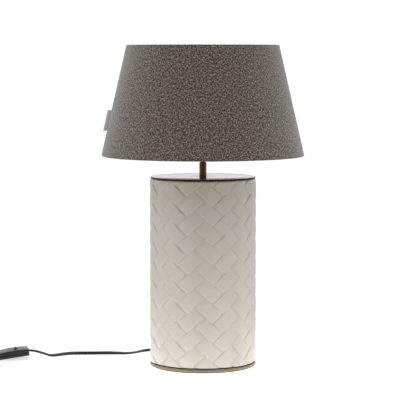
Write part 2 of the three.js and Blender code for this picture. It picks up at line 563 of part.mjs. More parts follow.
/** Bulb: screw cap, foot contact, collar and opal globe. */
function makeBulb() {
  const bulb = new THREE.Group();
  add(bulb, "bulb_foot_contact", bar(BULB_FOOT_RADIUS, BULB_BOTTOM, BULB_FOOT_HEIGHT), BRASS);
  add(bulb, "bulb_cap", bar(BULB_CAP_RADIUS, BULB_CAP_BOTTOM, BULB_CAP_HEIGHT, MIDDLE_ROUND), ZINC);
  const collarTop = BULB_COLLAR_BOTTOM + BULB_COLLAR_HEIGHT;
  const collar = [
    [0, BULB_COLLAR_BOTTOM], [BULB_COLLAR_LOW_RADIUS, BULB_COLLAR_BOTTOM],
    [BULB_COLLAR_HIGH_RADIUS, collarTop], [0, collarTop],
  ];
  add(bulb, "bulb_collar", turned(collar, MIDDLE_ROUND), OPAL);
  const seatAngle = -Math.acos(BULB_COLLAR_HIGH_RADIUS / BULB_GLOBE_RADIUS);
  const globeCentre = collarTop + GAP - BULB_GLOBE_RADIUS * Math.sin(seatAngle);
  const globe = Array.from({ length: BULB_GLOBE_STEPS + 1 }, (_, step) => {
    const angle = seatAngle + (Math.PI / 2 - seatAngle) * step / BULB_GLOBE_STEPS;
    const radius = step === BULB_GLOBE_STEPS ? 0 : BULB_GLOBE_RADIUS * Math.cos(angle);
    return [radius, globeCentre + BULB_GLOBE_RADIUS * Math.sin(angle)];
  });
  add(bulb, "bulb_globe", turned([[0, collarTop + GAP], ...globe], MIDDLE_ROUND), OPAL);
  return bulb;
}

/** The shade's outside radius at a height above its lower rim. */
function shadeRadius(height) {
  return THREE.MathUtils.lerp(SHADE_BOTTOM_RADIUS, SHADE_TOP_RADIUS, height / SHADE_HEIGHT);
}

/** A wall of the shade, a distance inside the outer surface. */
function shadeWall(depth, thickness, bottom, top) {
  const outside = (height) => shadeRadius(height) - depth;
  const inside = (height) => outside(height) - thickness;
  const profile = [
    [inside(bottom), bottom], [outside(bottom), bottom], [outside(top), top], [inside(top), top],
    [inside(bottom), bottom],
  ];
  return turned(profile.map(([radius, height]) => [radius, SHADE_BOTTOM + height]));
}

/** Shade: fabric, lining, two wire rings, three arms, fitter ring and ribbon label. */
function makeShade() {
  const shade = new THREE.Group();
  add(shade, "shade_fabric", shadeWall(0, FABRIC_THICKNESS, 0, SHADE_HEIGHT), TWEED);
  const liningInset = FABRIC_THICKNESS + GAP;
  const lining = shadeWall(liningInset, LINING_THICKNESS, GAP, SHADE_HEIGHT - GAP);
  add(shade, "shade_lining", lining, WHITE_LINING);
  const wireInset = liningInset + LINING_THICKNESS + GAP + WIRE_RADIUS + GAP;
  const lowRingRadius = shadeRadius(WIRE_INSET_FROM_RIM) - wireInset;
  const lowRingHeight = SHADE_BOTTOM + WIRE_INSET_FROM_RIM;
  add(shade, "shade_bottom_ring", wireRing(lowRingRadius, lowRingHeight), WHITE_WIRE);
  const highRingRadius = shadeRadius(SHADE_HEIGHT) - wireInset;
  add(shade, "shade_top_ring", wireRing(highRingRadius, SHADE_TOP - WIRE_INSET_FROM_RIM), WHITE_WIRE);
  const fitterInner = HOLDER_SKIRT_RADIUS + 2 * GAP;
  const fitterOuter = fitterInner + FITTER_WIDTH;
  const fitter = ring(fitterInner, fitterOuter, FITTER_BOTTOM, FITTER_TOP, MIDDLE_ROUND);
  add(shade, "shade_fitter_ring", fitter, WHITE_WIRE);
  const armStart = new THREE.Vector3(fitterOuter + WIRE_RADIUS, 0, (FITTER_BOTTOM + FITTER_TOP) / 2);
  const armEnd = new THREE.Vector3(lowRingRadius - WIRE_RADIUS - 2 * GAP, 0, lowRingHeight);
  for (let index = 0; index < ARM_COUNT; index += 1) {
    const angle = ARM_START_ANGLE + index * 2 * Math.PI / ARM_COUNT;
    const arm = rodBetween(armStart, armEnd, WIRE_RADIUS).rotateZ(angle);
    add(shade, `shade_arm_${index + 1}`, arm, WHITE_WIRE);
  }
  const slope = Math.atan2(SHADE_BOTTOM_RADIUS - SHADE_TOP_RADIUS, SHADE_HEIGHT);
  const label = new THREE.BoxGeometry(LABEL_WIDTH, LABEL_THICKNESS, LABEL_LENGTH);
  label.rotateY(slope);
  const labelMiddle = shadeRadius(LABEL_HEIGHT_ON_SHADE) + (GAP + LABEL_WIDTH / 2) / Math.cos(slope);
  label.translate(-labelMiddle, 0, SHADE_BOTTOM + LABEL_HEIGHT_ON_SHADE);
  add(shade, "shade_label", label, RIBBON);
  return shade;
}

/** Clamp ring that holds the shade's fitter ring down on the lampholder's seat. */
function makeClampRing() {
  const group = new THREE.Group();
  const inner = HOLDER_SKIRT_RADIUS + GAP;
  const top = CLAMP_RING_BOTTOM + CLAMP_RING_HEIGHT;
  const clamp = ring(inner, inner + CLAMP_RING_WIDTH, CLAMP_RING_BOTTOM, top, MIDDLE_ROUND);
  add(group, "shade_clamp_ring", clamp, BLACK_PLASTIC);
  return group;
}

/** The free cord: three plain runs, the coil's outer shape and its tie. */
function makeCord() {
  const cord = new THREE.Group();
  const circle = new THREE.Path().absarc(0, 0, CORD_RUN_RADIUS, 0, 2 * Math.PI);
  const roundSection = new THREE.Shape(circle.getPoints(CORD_RUN_QUARTER));
  const runs = [
    ["cord_lead", LEAD_ROUTE, LEAD_STEPS],
    ["cord_tail", TAIL_ROUTE, SHORT_RUN_STEPS],
    ["cord_end", END_ROUTE, SHORT_RUN_STEPS],
  ];
  for (const [name, route, steps] of runs) {
    add(cord, name, swept(roundSection, new THREE.CatmullRomCurve3(route), steps), BLACK_PLASTIC);
  }
  const outer = COIL_OUTER_TURN + CORD_WIDTH / 2;
  const inner = outer - COIL_TURNS_WIDE * CORD_WIDTH;
  const height = COIL_TURNS_HIGH * CORD_WIDTH;
  const { x, y, z } = COIL_CENTRE;
  const corner = CORD_WIDTH / 4;
  const coil = [
    [inner + corner, 0], [outer - corner, 0], [outer, corner], [outer, height - corner],
    [outer - corner, height], [inner + corner, height], [inner, height - corner], [inner, corner],
    [inner + corner, 0],
  ];
  add(cord, "cord_coil", turned(coil, MIDDLE_ROUND).translate(x, y, z), BLACK_PLASTIC);
  const innerAtTie = Math.sqrt(inner ** 2 - (TIE_WIDTH / 2) ** 2);
  const hole = {
    low: innerAtTie - GAP, high: outer + GAP, bottom: z - GAP, top: z + height + GAP,
  };
  const band = new THREE.Shape();
  const [low, high] = [hole.low - TIE_THICKNESS, hole.high + TIE_THICKNESS];
  const [bottom, top] = [hole.bottom - TIE_THICKNESS, hole.top + TIE_THICKNESS];
  band.moveTo(low, bottom).lineTo(high, bottom).lineTo(high, top).lineTo(low, top).closePath();
  const window = new THREE.Path();
  window.moveTo(hole.low, hole.bottom).lineTo(hole.low, hole.top);
  window.lineTo(hole.high, hole.top).lineTo(hole.high, hole.bottom).closePath();
  band.holes.push(window);
  const tie = new THREE.ExtrudeGeometry(band, { depth: TIE_WIDTH, bevelEnabled: false, steps: 1 });
  tie.rotateX(Math.PI / 2).translate(0, TIE_WIDTH / 2, 0).rotateZ(Math.PI).translate(x, y, 0);
  add(cord, "coil_tie", tie, BLACK_PLASTIC);
  return cord;
}

/** The switch's side outline, drawn in X and Z and pulled in by a wall. */
function switchOutline(wall) {
  const half = SWITCH_LENGTH / 2 - wall;
  const rise = SWITCH_MIDDLE_HEIGHT - SWITCH_END_HEIGHT;
  const crown = Array.from({ length: SWITCH_CROWN_STEPS + 1 }, (_, step) => {
    const along = 1 - 2 * step / SWITCH_CROWN_STEPS;
    const height = SWITCH_END_HEIGHT - wall + rise * (1 - along ** 2);
    return new THREE.Vector2(along * half, height);
  });
  return new THREE.Shape([new THREE.Vector2(-half, wall), new THREE.Vector2(half, wall), ...crown]);
}

/** A side outline made solid across the switch. */
function acrossSwitch(outline, width, round = 0) {
  const options = {
    depth: width - 2 * round, steps: 1, bevelEnabled: round > 0, bevelThickness: round, bevelSize: round,
    bevelOffset: -round, bevelSegments: 2,
  };
  const geometry = new THREE.ExtrudeGeometry(outline, options);
  return geometry.rotateX(Math.PI / 2).translate(0, width / 2 - round, 0);
}

/** Switch: two housing halves, rocker on its pin and two screws from below. */
function makeSwitch() {
  const group = new THREE.Group();
  const outer = solidOf(acrossSwitch(switchOutline(0), SWITCH_WIDTH, SWITCH_EDGE_ROUND));
  const cavity = solidOf(acrossSwitch(switchOutline(SWITCH_WALL), SWITCH_WIDTH - 2 * SWITCH_WALL));
  const cordSlot = solidOf(block(0, 0, SWITCH_PARTING,
    2 * SWITCH_LENGTH, CORD_WIDTH + 2 * GAP, CORD_THICKNESS + 2 * GAP));
  const shell = outer.subtract(cavity).subtract(cordSlot);
  const span = 2 * SWITCH_LENGTH;
  const below = solidOf(block(0, 0, SWITCH_PARTING - GAP / 2 - span / 2, span, span, span));
  const above = solidOf(block(0, 0, SWITCH_PARTING + GAP / 2 + span / 2, span, span, span));

  const openingLength = 2 * (ROCKER_RADIUS + GAP);
  const openingWidth = ROCKER_WIDTH + 2 * GAP;
  const opening = solidOf(block(0, 0, SWITCH_MIDDLE_HEIGHT, openingLength, openingWidth, SWITCH_PARTING));
  const cheekTop = SWITCH_MIDDLE_HEIGHT - SWITCH_WALL / 2;
  const cheekBottom = ROCKER_PIVOT_HEIGHT - 2 * PIVOT_PIN_RADIUS;
  const cheekMiddle = (openingWidth + PIVOT_CHEEK_THICKNESS) / 2;
  const pinLength = openingWidth + 2 * PIVOT_CHEEK_THICKNESS - 2 * GAP;
  const pinAt = (radius, length) => bar(radius, -length / 2, length, TINY_ROUND).rotateX(Math.PI / 2)
    .translate(0, 0, ROCKER_PIVOT_HEIGHT);
  let upper = shell.intersect(above).subtract(opening);
  for (const side of [-1, 1]) {
    const cheek = block(0, side * cheekMiddle, (cheekTop + cheekBottom) / 2,
      PIVOT_CHEEK_LENGTH, PIVOT_CHEEK_THICKNESS, cheekTop - cheekBottom);
    upper = upper.add(solidOf(cheek));
  }
  const pinHole = solidOf(pinAt(PIVOT_PIN_RADIUS + GAP, pinLength + 2 * GAP));
  add(group, "switch_upper_housing", geometryOf(upper.subtract(pinHole)), BLACK_PLASTIC);
  add(group, "switch_pivot_pin", pinAt(PIVOT_PIN_RADIUS, pinLength), ZINC);

  let lower = shell.intersect(below);
  for (const [side, name] of [[-1, "switch_screw_1"], [1, "switch_screw_2"]]) {
    const x = side * (SWITCH_LENGTH / 2 - SWITCH_SCREW_INSET);
    const headTop = GAP + SWITCH_SCREW_HEAD_HEIGHT;
    const shankHole = bar(SWITCH_SCREW_RADIUS + GAP, -GAP, SWITCH_PARTING, TINY_ROUND);
    const headHole = bar(SWITCH_SCREW_HEAD_RADIUS + GAP, -GAP, headTop + 3 * GAP / 2, TINY_ROUND);
    lower = lower.subtract(solidOf(shankHole.translate(x, 0, 0)));
    lower = lower.subtract(solidOf(headHole.translate(x, 0, 0)));
    const screw = [
      [0, GAP], [SWITCH_SCREW_HEAD_RADIUS, GAP], [SWITCH_SCREW_HEAD_RADIUS, headTop],
      [SWITCH_SCREW_RADIUS, headTop], [SWITCH_SCREW_RADIUS, GAP + SWITCH_SCREW_LENGTH],
      [0, GAP + SWITCH_SCREW_LENGTH],
    ];
    add(group, name, turned(screw, TINY_ROUND).translate(x, 0, 0), ZINC);
  }
  add(group, "switch_lower_housing", geometryOf(lower), BLACK_PLASTIC);

  const topAngle = Math.asin(ROCKER_END_TOP / ROCKER_RADIUS);
  const bottomAngle = Math.asin(ROCKER_BOTTOM / ROCKER_RADIUS);
  const side = new THREE.Shape();
  side.absarc(0, 0, ROCKER_RADIUS, bottomAngle, topAngle, false);
  side.quadraticCurveTo(0, 2 * ROCKER_MIDDLE_TOP - ROCKER_END_TOP,
    -ROCKER_RADIUS * Math.cos(topAngle), ROCKER_END_TOP);
  side.absarc(0, 0, ROCKER_RADIUS, Math.PI - topAngle, Math.PI - bottomAngle, false);
  side.closePath();
  const options = { depth: ROCKER_WIDTH, bevelEnabled: false, steps: 1, curveSegments: ROCKER_ROUND };
  const blank = new THREE.ExtrudeGeometry(side, options);
  blank.rotateX(Math.PI / 2).translate(0, ROCKER_WIDTH / 2, 0);
  blank.rotateY(-ROCKER_THROW).translate(0, 0, ROCKER_PIVOT_HEIGHT);
  const bore = solidOf(pinAt(PIVOT_PIN_RADIUS + GAP, 2 * ROCKER_WIDTH));
  add(group, "switch_rocker", geometryOf(solidOf(blank).subtract(bore)), BLACK_PLASTIC);

  group.rotation.copy(SWITCH_TURN);
  group.position.copy(SWITCH_PLACE);
  return group;
}

/** Plug: flat moulded body with its tapered sleeve, and two round pins. */
function makePlug() {
  const plug = new THREE.Group();
  const back = PLUG_CORD_END_Y - PLUG_SLEEVE_LENGTH;
  const front = back - PLUG_LENGTH;
  const half = PLUG_WIDTH / 2;
  const neck = PLUG_NECK_WIDTH / 2;
  const outline = new THREE.Shape([
    new THREE.Vector2(-half, front), new THREE.Vector2(half, front),
    new THREE.Vector2(half, front + PLUG_SHOULDER), new THREE.Vector2(neck, back),
    new THREE.Vector2(-neck, back), new THREE.Vector2(-half, front + PLUG_SHOULDER),
  ]);
  const round = PLUG_HEIGHT / 6;
  const body = new THREE.ExtrudeGeometry(outline, {
    depth: PLUG_HEIGHT - 2 * round, steps: 1, bevelEnabled: true, bevelThickness: round, bevelSize: round,
    bevelOffset: -round, bevelSegments: 2,
  });
  body.translate(0, 0, PLUG_LIFT + round);
  const sleeve = [
    [0, back - neck], [PLUG_SLEEVE_ROOT_RADIUS, back - neck], [PLUG_SLEEVE_ROOT_RADIUS, back],
    [PLUG_SLEEVE_TIP_RADIUS, PLUG_CORD_END_Y], [0, PLUG_CORD_END_Y],
  ];
  const sleeveSolid = solidOf(turned(sleeve, SMALL_ROUND).rotateX(-Math.PI / 2).translate(0, 0, PLUG_MIDDLE));
  add(plug, "plug_body", geometryOf(solidOf(body).add(sleeveSolid)), BLACK_PLASTIC);
  for (const [side, name] of [[-1, "plug_pin_1"], [1, "plug_pin_2"]]) {
    const pin = bar(PIN_RADIUS, 0, PIN_LENGTH, TINY_ROUND).rotateX(Math.PI / 2);
    pin.translate(side * PIN_SPACING / 2, front - GAP, PLUG_MIDDLE);
    add(plug, name, pin, ZINC);
  }
  plug.position.x = PLUG_X;
  return plug;
}

const lamp = new THREE.Group();
lamp.add(makeFoot(), makeCeramicBody(), makeStem(), makeLampholder(), makeInnerWiring());
lamp.add(makeBulb(), makeClampRing(), makeShade(), makeCord(), makeSwitch(), makePlug());
export default lamp;
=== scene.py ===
import logging
import math
from collections.abc import Callable
from dataclasses import dataclass
from enum import Enum

import bmesh
import bpy
import numpy as np
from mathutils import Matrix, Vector


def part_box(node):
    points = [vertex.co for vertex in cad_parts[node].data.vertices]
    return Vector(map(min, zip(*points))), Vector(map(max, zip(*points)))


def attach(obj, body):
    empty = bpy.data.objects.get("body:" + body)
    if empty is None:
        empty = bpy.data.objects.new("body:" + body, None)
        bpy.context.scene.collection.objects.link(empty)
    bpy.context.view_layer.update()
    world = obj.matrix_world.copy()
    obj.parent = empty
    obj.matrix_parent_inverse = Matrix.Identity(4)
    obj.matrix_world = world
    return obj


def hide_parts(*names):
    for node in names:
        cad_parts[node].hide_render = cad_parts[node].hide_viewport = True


LOG = logging.getLogger("lamp")
MM = 0.001
ROD_HOLE = 4.3 * MM
NUT_RADIUS = 7.2 * MM
NUT_SEGMENTS = 48
JOIN = 0.25 * MM
Array = np.ndarray
Relief = Callable[[Array, Array, Array], Array]

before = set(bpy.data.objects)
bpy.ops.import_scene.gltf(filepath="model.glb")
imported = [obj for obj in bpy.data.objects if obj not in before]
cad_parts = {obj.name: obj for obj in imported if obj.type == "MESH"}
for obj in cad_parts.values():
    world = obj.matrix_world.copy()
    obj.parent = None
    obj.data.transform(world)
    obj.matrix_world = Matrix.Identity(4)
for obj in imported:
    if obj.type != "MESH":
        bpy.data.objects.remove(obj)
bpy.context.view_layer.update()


# ---------------------------------------------------------------- mesh building


def link(name: str, mesh: bpy.types.Mesh, crease: float | None = None) -> bpy.types.Object:
    """Shade a mesh smooth and link it to the scene as an object.

    Args:
        name: The piece's name.
        mesh: Its mesh.
        crease: Edges sharper than this many degrees stay sharp, if given.

    Returns:
        The linked object, at the origin.
    """
    mesh.shade_smooth()
    if crease is not None:
        mesh.set_sharp_from_angle(angle=math.radians(crease))
    piece = bpy.data.objects.new(name, mesh)
    bpy.context.scene.collection.objects.link(piece)
    return piece


def make_object(name: str, points: Array, faces: list, crease: float = 35.0) -> bpy.types.Object:
    """Make a closed mesh object with merged seams and outward faces.

    Args:
        name: The piece's name.
        points: Vertex positions in metres, in rows of three.
        faces: Vertex indices of each face.
        crease: Edges sharper than this many degrees stay sharp.

    Returns:
        The linked object, at the origin.
    """
    mesh = bpy.data.meshes.new(name)
    mesh.from_pydata(points.reshape(-1, 3).tolist(), [], faces)
    shell = bmesh.new()
    shell.from_mesh(mesh)
    bmesh.ops.remove_doubles(shell, verts=shell.verts, dist=1e-7)
    bmesh.ops.dissolve_degenerate(shell, edges=shell.edges, dist=1e-8)
    bmesh.ops.recalc_face_normals(shell, faces=shell.faces)
    shell.to_mesh(mesh)
    shell.free()
    return link(name, mesh, crease)


def quads(rows: int, columns: int, close_rows: bool, close_columns: bool) -> Array:
    """Index the quads of a grid whose vertices are numbered row by row.

    Args:
        rows: Number of rows of vertices.
        columns: Number of columns of vertices.
        close_rows: Whether the last row joins the first.
        close_columns: Whether the last column joins the first.

    Returns:
        An array of four indices a quad.
    """
    row = np.arange(rows if close_rows else rows - 1)[:, None]
    column = np.arange(columns if close_columns else columns - 1)[None, :]
    below, beside = (row + 1) % rows, (column + 1) % columns
    corners = [
        row * columns + column,
        row * columns + beside,
        below * columns + beside,
        below * columns + column,
    ]
    shape = np.broadcast(row, column).shape
    return np.stack([np.broadcast_to(c, shape) for c in corners], -1).reshape(-1, 4)


def soften(corners: Array, radius: float, steps: int = 4) -> Array:
    """Round each corner of a closed outline with a quadratic curve between points a radius away on its sides.

    Args:
        corners: The outline's corners, one row each.
        radius: Distance of the rounding's ends from the corner, kept under half of each side.
        steps: Points on each rounding.

    Returns:
        The rounded outline's points.
    """
    before, after = np.roll(corners, 1, 0) - corners, np.roll(corners, -1, 0) - corners
    length_before = np.linalg.norm(before, axis=1, keepdims=True)
    length_after = np.linalg.norm(after, axis=1, keepdims=True)
    reach = np.minimum(radius, 0.48 * np.minimum(length_before, length_after))
    on_axis = np.abs(corners[:, :1]) < 1e-9
    reach = np.where(on_axis, 0.0, reach)
    start = corners + before / length_before * reach
    end = corners + after / length_after * reach
    t = np.linspace(0, 1, steps)[None, :, None]
    curve = (1 - t) ** 2 * start[:, None] + 2 * t * (1 - t) * corners[:, None] + t**2 * end[:, None]
    return curve.reshape(-1, 2)


def spin(outline: Array, segments: int, relief: Relief | None) -> tuple[Array, Array, Array]:
    """Repeat an outline round its axis.

    Args:
        outline: Closed outline of radius and place along the axis, in metres.
        segments: Steps round the axis.
        relief: Adds to the radius, from the angle, the place along the axis and the radius.

    Returns:
        The angle, the radius and the place along the axis, with a row for each of the outline's points.
    """
    angle = np.linspace(0, 2 * np.pi, segments, endpoint=False)[None, :]
    radius, along = outline[:, :1] + 0 * angle, outline[:, 1:] + 0 * angle
    if relief is not None:
        radius = radius + relief(angle + 0 * radius, along, radius)
    return angle, radius, along


def turned(
    name: str, outline: Array, segments: int = 96, relief: Relief | None = None, crease: float = 35.0
) -> bpy.types.Object:
    """Turn a closed outline of (radius, height) about Z: x = r sin a, y = -r cos a.

    Args:
        name: The piece's name.
        outline: Closed outline of radius and height in metres.
        segments: Steps round the axis.
        relief: Adds to the radius, from the angle, the height and the radius.
        crease: Edges sharper than this many degrees stay sharp.

    Returns:
        The new piece.
    """
    angle, radius, height = spin(outline, segments, relief)
    points = np.stack([radius * np.sin(angle), -radius * np.cos(angle), height], -1)
    return make_object(name, points, quads(len(outline), segments, True, True).tolist(), crease)


def turned_along_y(
    name: str, outline: Array, middle: tuple[float, float], segments: int, relief: Relief | None = None
) -> bpy.types.Object:
    """Turn a closed outline of (radius, y) about an axis along Y: x = x0 + r sin a, z = z0 + r cos a.

    Args:
        name: The piece's name.
        outline: Closed outline of radius and y in metres.
        middle: The axis's x0 and z0.
        segments: Steps round the axis.
        relief: Adds to the radius, from the angle, y and the radius.

    Returns:
        The new piece.
    """
    angle, radius, along = spin(outline, segments, relief)
    x, z = middle[0] + radius * np.sin(angle), middle[1] + radius * np.cos(angle)
    return make_object(name, np.stack([x, along, z], -1), quads(len(outline), segments, True, True).tolist())


def box_outline(inner: float, outer: float, bottom: float, top: float) -> Array:
    """Return the four corners of a ring's section as (radius, height) rows."""
    return np.array([[inner, bottom], [outer, bottom], [outer, top], [inner, top]])


def softened_copy(node: str, name: str, radius: float, crease: float = 40.0) -> bpy.types.Object:
    """Copy a CAD node's solid, merge its flat faces and round its edges.

    Args:
        node: The CAD node.
        name: The new piece's name.
        radius: Width of the rounding in metres.
        crease: Edges sharper than this many degrees stay sharp.

    Returns:
        The new piece.
    """
    shell = bmesh.new()
    shell.from_mesh(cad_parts[node].data)
    bmesh.ops.remove_doubles(shell, verts=shell.verts, dist=1e-6)
    limit = math.radians(1.5)
    bmesh.ops.dissolve_limit(shell, angle_limit=limit, verts=shell.verts, edges=shell.edges)
    sharp = [e for e in shell.edges if len(e.link_faces) == 2 and e.calc_face_angle() > math.radians(34)]
    bmesh.ops.bevel(
        shell, geom=sharp, offset=radius, segments=3, profile=0.5, affect="EDGES", clamp_overlap=True
    )
    bmesh.ops.recalc_face_normals(shell, faces=shell.faces)
    mesh = bpy.data.meshes.new(name)
    shell.to_mesh(mesh)
    shell.free()
    return link(name, mesh, crease)


def bore(piece: bpy.types.Object, cutter: bpy.types.Object, crease: float = 24.0) -> None:
    """Cut one closed piece with another, and throw the cutter away.

    Args:
        piece: The piece that is cut.
        cutter: The solid that is taken out of it.
        crease: Edges sharper than this many degrees stay sharp.
    """
    cut = piece.modifiers.new("bore", "BOOLEAN")
    cut.operation = "DIFFERENCE"
    cut.solver = "EXACT"
    cut.object = cutter
    bpy.context.view_layer.update()
    before = piece.data
    after = bpy.data.meshes.new_from_object(piece.evaluated_get(bpy.context.evaluated_depsgraph_get()))
    after.name = before.name + "_bored"
    piece.modifiers.clear()
    piece.data = after
    after.shade_smooth()
    after.set_sharp_from_angle(angle=math.radians(crease))
    bpy.data.meshes.remove(before)
    spent = cutter.data
    bpy.data.objects.remove(cutter)
    bpy.data.meshes.remove(spent)


def thread(pitch: float, depth: float, least: float, most: float = math.inf) -> Relief:
    """Make a screw thread on walls of a radius between least and most.

    The wall falls by depth * (1 - cos(2 pi z / pitch - a)) / 2.
    """

    def cut(angle: Array, height: Array, radius: Array) -> Array:
        """Return the thread as a change of radius."""
        wave = (1 - np.cos(2 * np.pi * height / pitch - angle)) / 2
        return np.where((radius > least) & (radius < most), -depth * wave, 0.0)

    return cut


def hexagon(least: float) -> Relief:
    """Make six flats where the radius is over least: apothem / cos(angle from a side's middle)."""
    return lambda angle, _, radius: np.where(
        radius > least,
        radius * math.cos(math.pi / 6) / np.cos(np.mod(angle, np.pi / 3) - np.pi / 6) - radius,
        0.0,
    )


def ribs(count: int, depth: float, least: float) -> Relief:
    """Make ribs where the radius is over least: a fall of depth * (cos(count * a) / 2 + 1 / 2)^4."""
    return lambda angle, _, radius: np.where(
        radius > least, -depth * ((np.cos(count * angle) + 1) / 2) ** 4, 0.0
    )


# ---------------------------------------------------------------- shader building


class Tree:
    """A node tree with short calls to add and link nodes."""

    def __init__(self, tree: bpy.types.NodeTree) -> None:
        """Wrap a tree."""
        self.tree = tree

    def add(self, kind: str, inputs: dict | None = None, **settings: object) -> bpy.types.Node:
        """Add a node.

        Args:
            kind: The node's type name.
            inputs: Values or output sockets by input name or number.
            **settings: The node's own properties.

        Returns:
            The node.
        """
        node = self.tree.nodes.new(kind)
        for name, value in settings.items():
            setattr(node, name, value)
        self.fill(node, inputs or {})
        return node

    def fill(self, node: bpy.types.Node, inputs: dict) -> None:
        """Set or link a node's inputs, by name or number."""
        for name, value in inputs.items():
            self.put(value, node.inputs[name])

    def put(self, value: object, socket: bpy.types.NodeSocket) -> None:
        """Link a socket to an output, or give it a value."""
        if isinstance(value, bpy.types.NodeSocket):
            self.tree.links.new(value, socket)
        else:
            socket.default_value = value

    def math(self, operation: str, first: object, second: object = 0.0, third: object = 0.0) -> object:
        """Add a Math node and return its output."""
        inputs = {0: first, 1: second, 2: third}
        return self.add("ShaderNodeMath", inputs, operation=operation).outputs[0]

    def mix(self, factor: object, first: object, second: object) -> object:
        """Mix two colours and return the result."""
        node = self.add("ShaderNodeMix", data_type="RGBA")
        self.put(factor, node.inputs["Factor"])
        colors = [s for s in node.inputs if s.type == "RGBA"]
        self.put(first, colors[0])
        self.put(second, colors[1])
        return next(s for s in node.outputs if s.type == "RGBA")

    def remap(self, value: object, low: float, high: float, to_low: object, to_high: object) -> object:
        """Map a value from one range to another, clamped, and return it."""
        inputs = {"Value": value, "From Min": low, "From Max": high, "To Min": to_low, "To Max": to_high}
        return self.add("ShaderNodeMapRange", inputs).outputs["Result"]


def new_group(name: str, inputs: list[tuple], outputs: list[tuple]) -> tuple[Tree, object, object]:
    """Start a shader node group.

    Args:
        name: The group's name.
        inputs: Socket name, socket type and value of each input.
        outputs: Socket name and socket type of each output.

    Returns:
        The tree, the group's input node and its output node.
    """
    group = bpy.data.node_groups.new(name, "ShaderNodeTree")
    for socket, kind, value in inputs:
        made = group.interface.new_socket(name=socket, in_out="INPUT", socket_type="NodeSocket" + kind)
        if value is not None:
            made.default_value = value
    for socket, kind in outputs:
        group.interface.new_socket(name=socket, in_out="OUTPUT", socket_type="NodeSocket" + kind)
    tree = Tree(group)
    return tree, tree.add("NodeGroupInput"), tree.add("NodeGroupOutput")


def make_mottle_group() -> bpy.types.NodeTree:
    """Build the group that gives plain finishes their patches, fine grain and uneven gloss.

    Returns:
        The group: two sizes of noise mix two colours, move the roughness and raise the surface.
    """
    inputs = [
        ("Vector", "Vector", None),
        ("Color", "Color", (0.5, 0.5, 0.5, 1)),
        ("Tint", "Color", (0.4, 0.4, 0.4, 1)),
        ("Patch Scale", "Float", 40.0),
        ("Grain Scale", "Float", 900.0),
        ("Tint Amount", "Float", 0.5),
        ("Roughness", "Float", 0.4),
        ("Roughness Spread", "Float", 0.1),
    ]
    outputs = [("Color", "Color"), ("Roughness", "Float"), ("Height", "Float")]
    tree, given, result = new_group("mottle", inputs, outputs)
    vector = given.outputs["Vector"]
    patch = tree.add(
        "ShaderNodeTexNoise",
        {"Vector": vector, "Scale": given.outputs["Patch Scale"], "Detail": 3.0, "Roughness": 0.55},
    ).outputs["Fac"]
    grain = tree.add(
        "ShaderNodeTexNoise", {"Vector": vector, "Scale": given.outputs["Grain Scale"], "Detail": 2.0}
    ).outputs["Fac"]
    both = tree.math("ADD", tree.math("MULTIPLY", patch, 0.65), tree.math("MULTIPLY", grain, 0.35))
    mask = tree.math("MULTIPLY", tree.remap(both, 0.35, 0.65, 0.0, 1.0), given.outputs["Tint Amount"])
    color = tree.mix(mask, given.outputs["Color"], given.outputs["Tint"])
    spread = tree.math("MULTIPLY", tree.math("SUBTRACT", both, 0.5), given.outputs["Roughness Spread"])
    rough = tree.math("ADD", given.outputs["Roughness"], tree.math("MULTIPLY", spread, 2.0))
    tree.fill(result, {"Color": color, "Roughness": rough, "Height": grain})
    return tree.tree


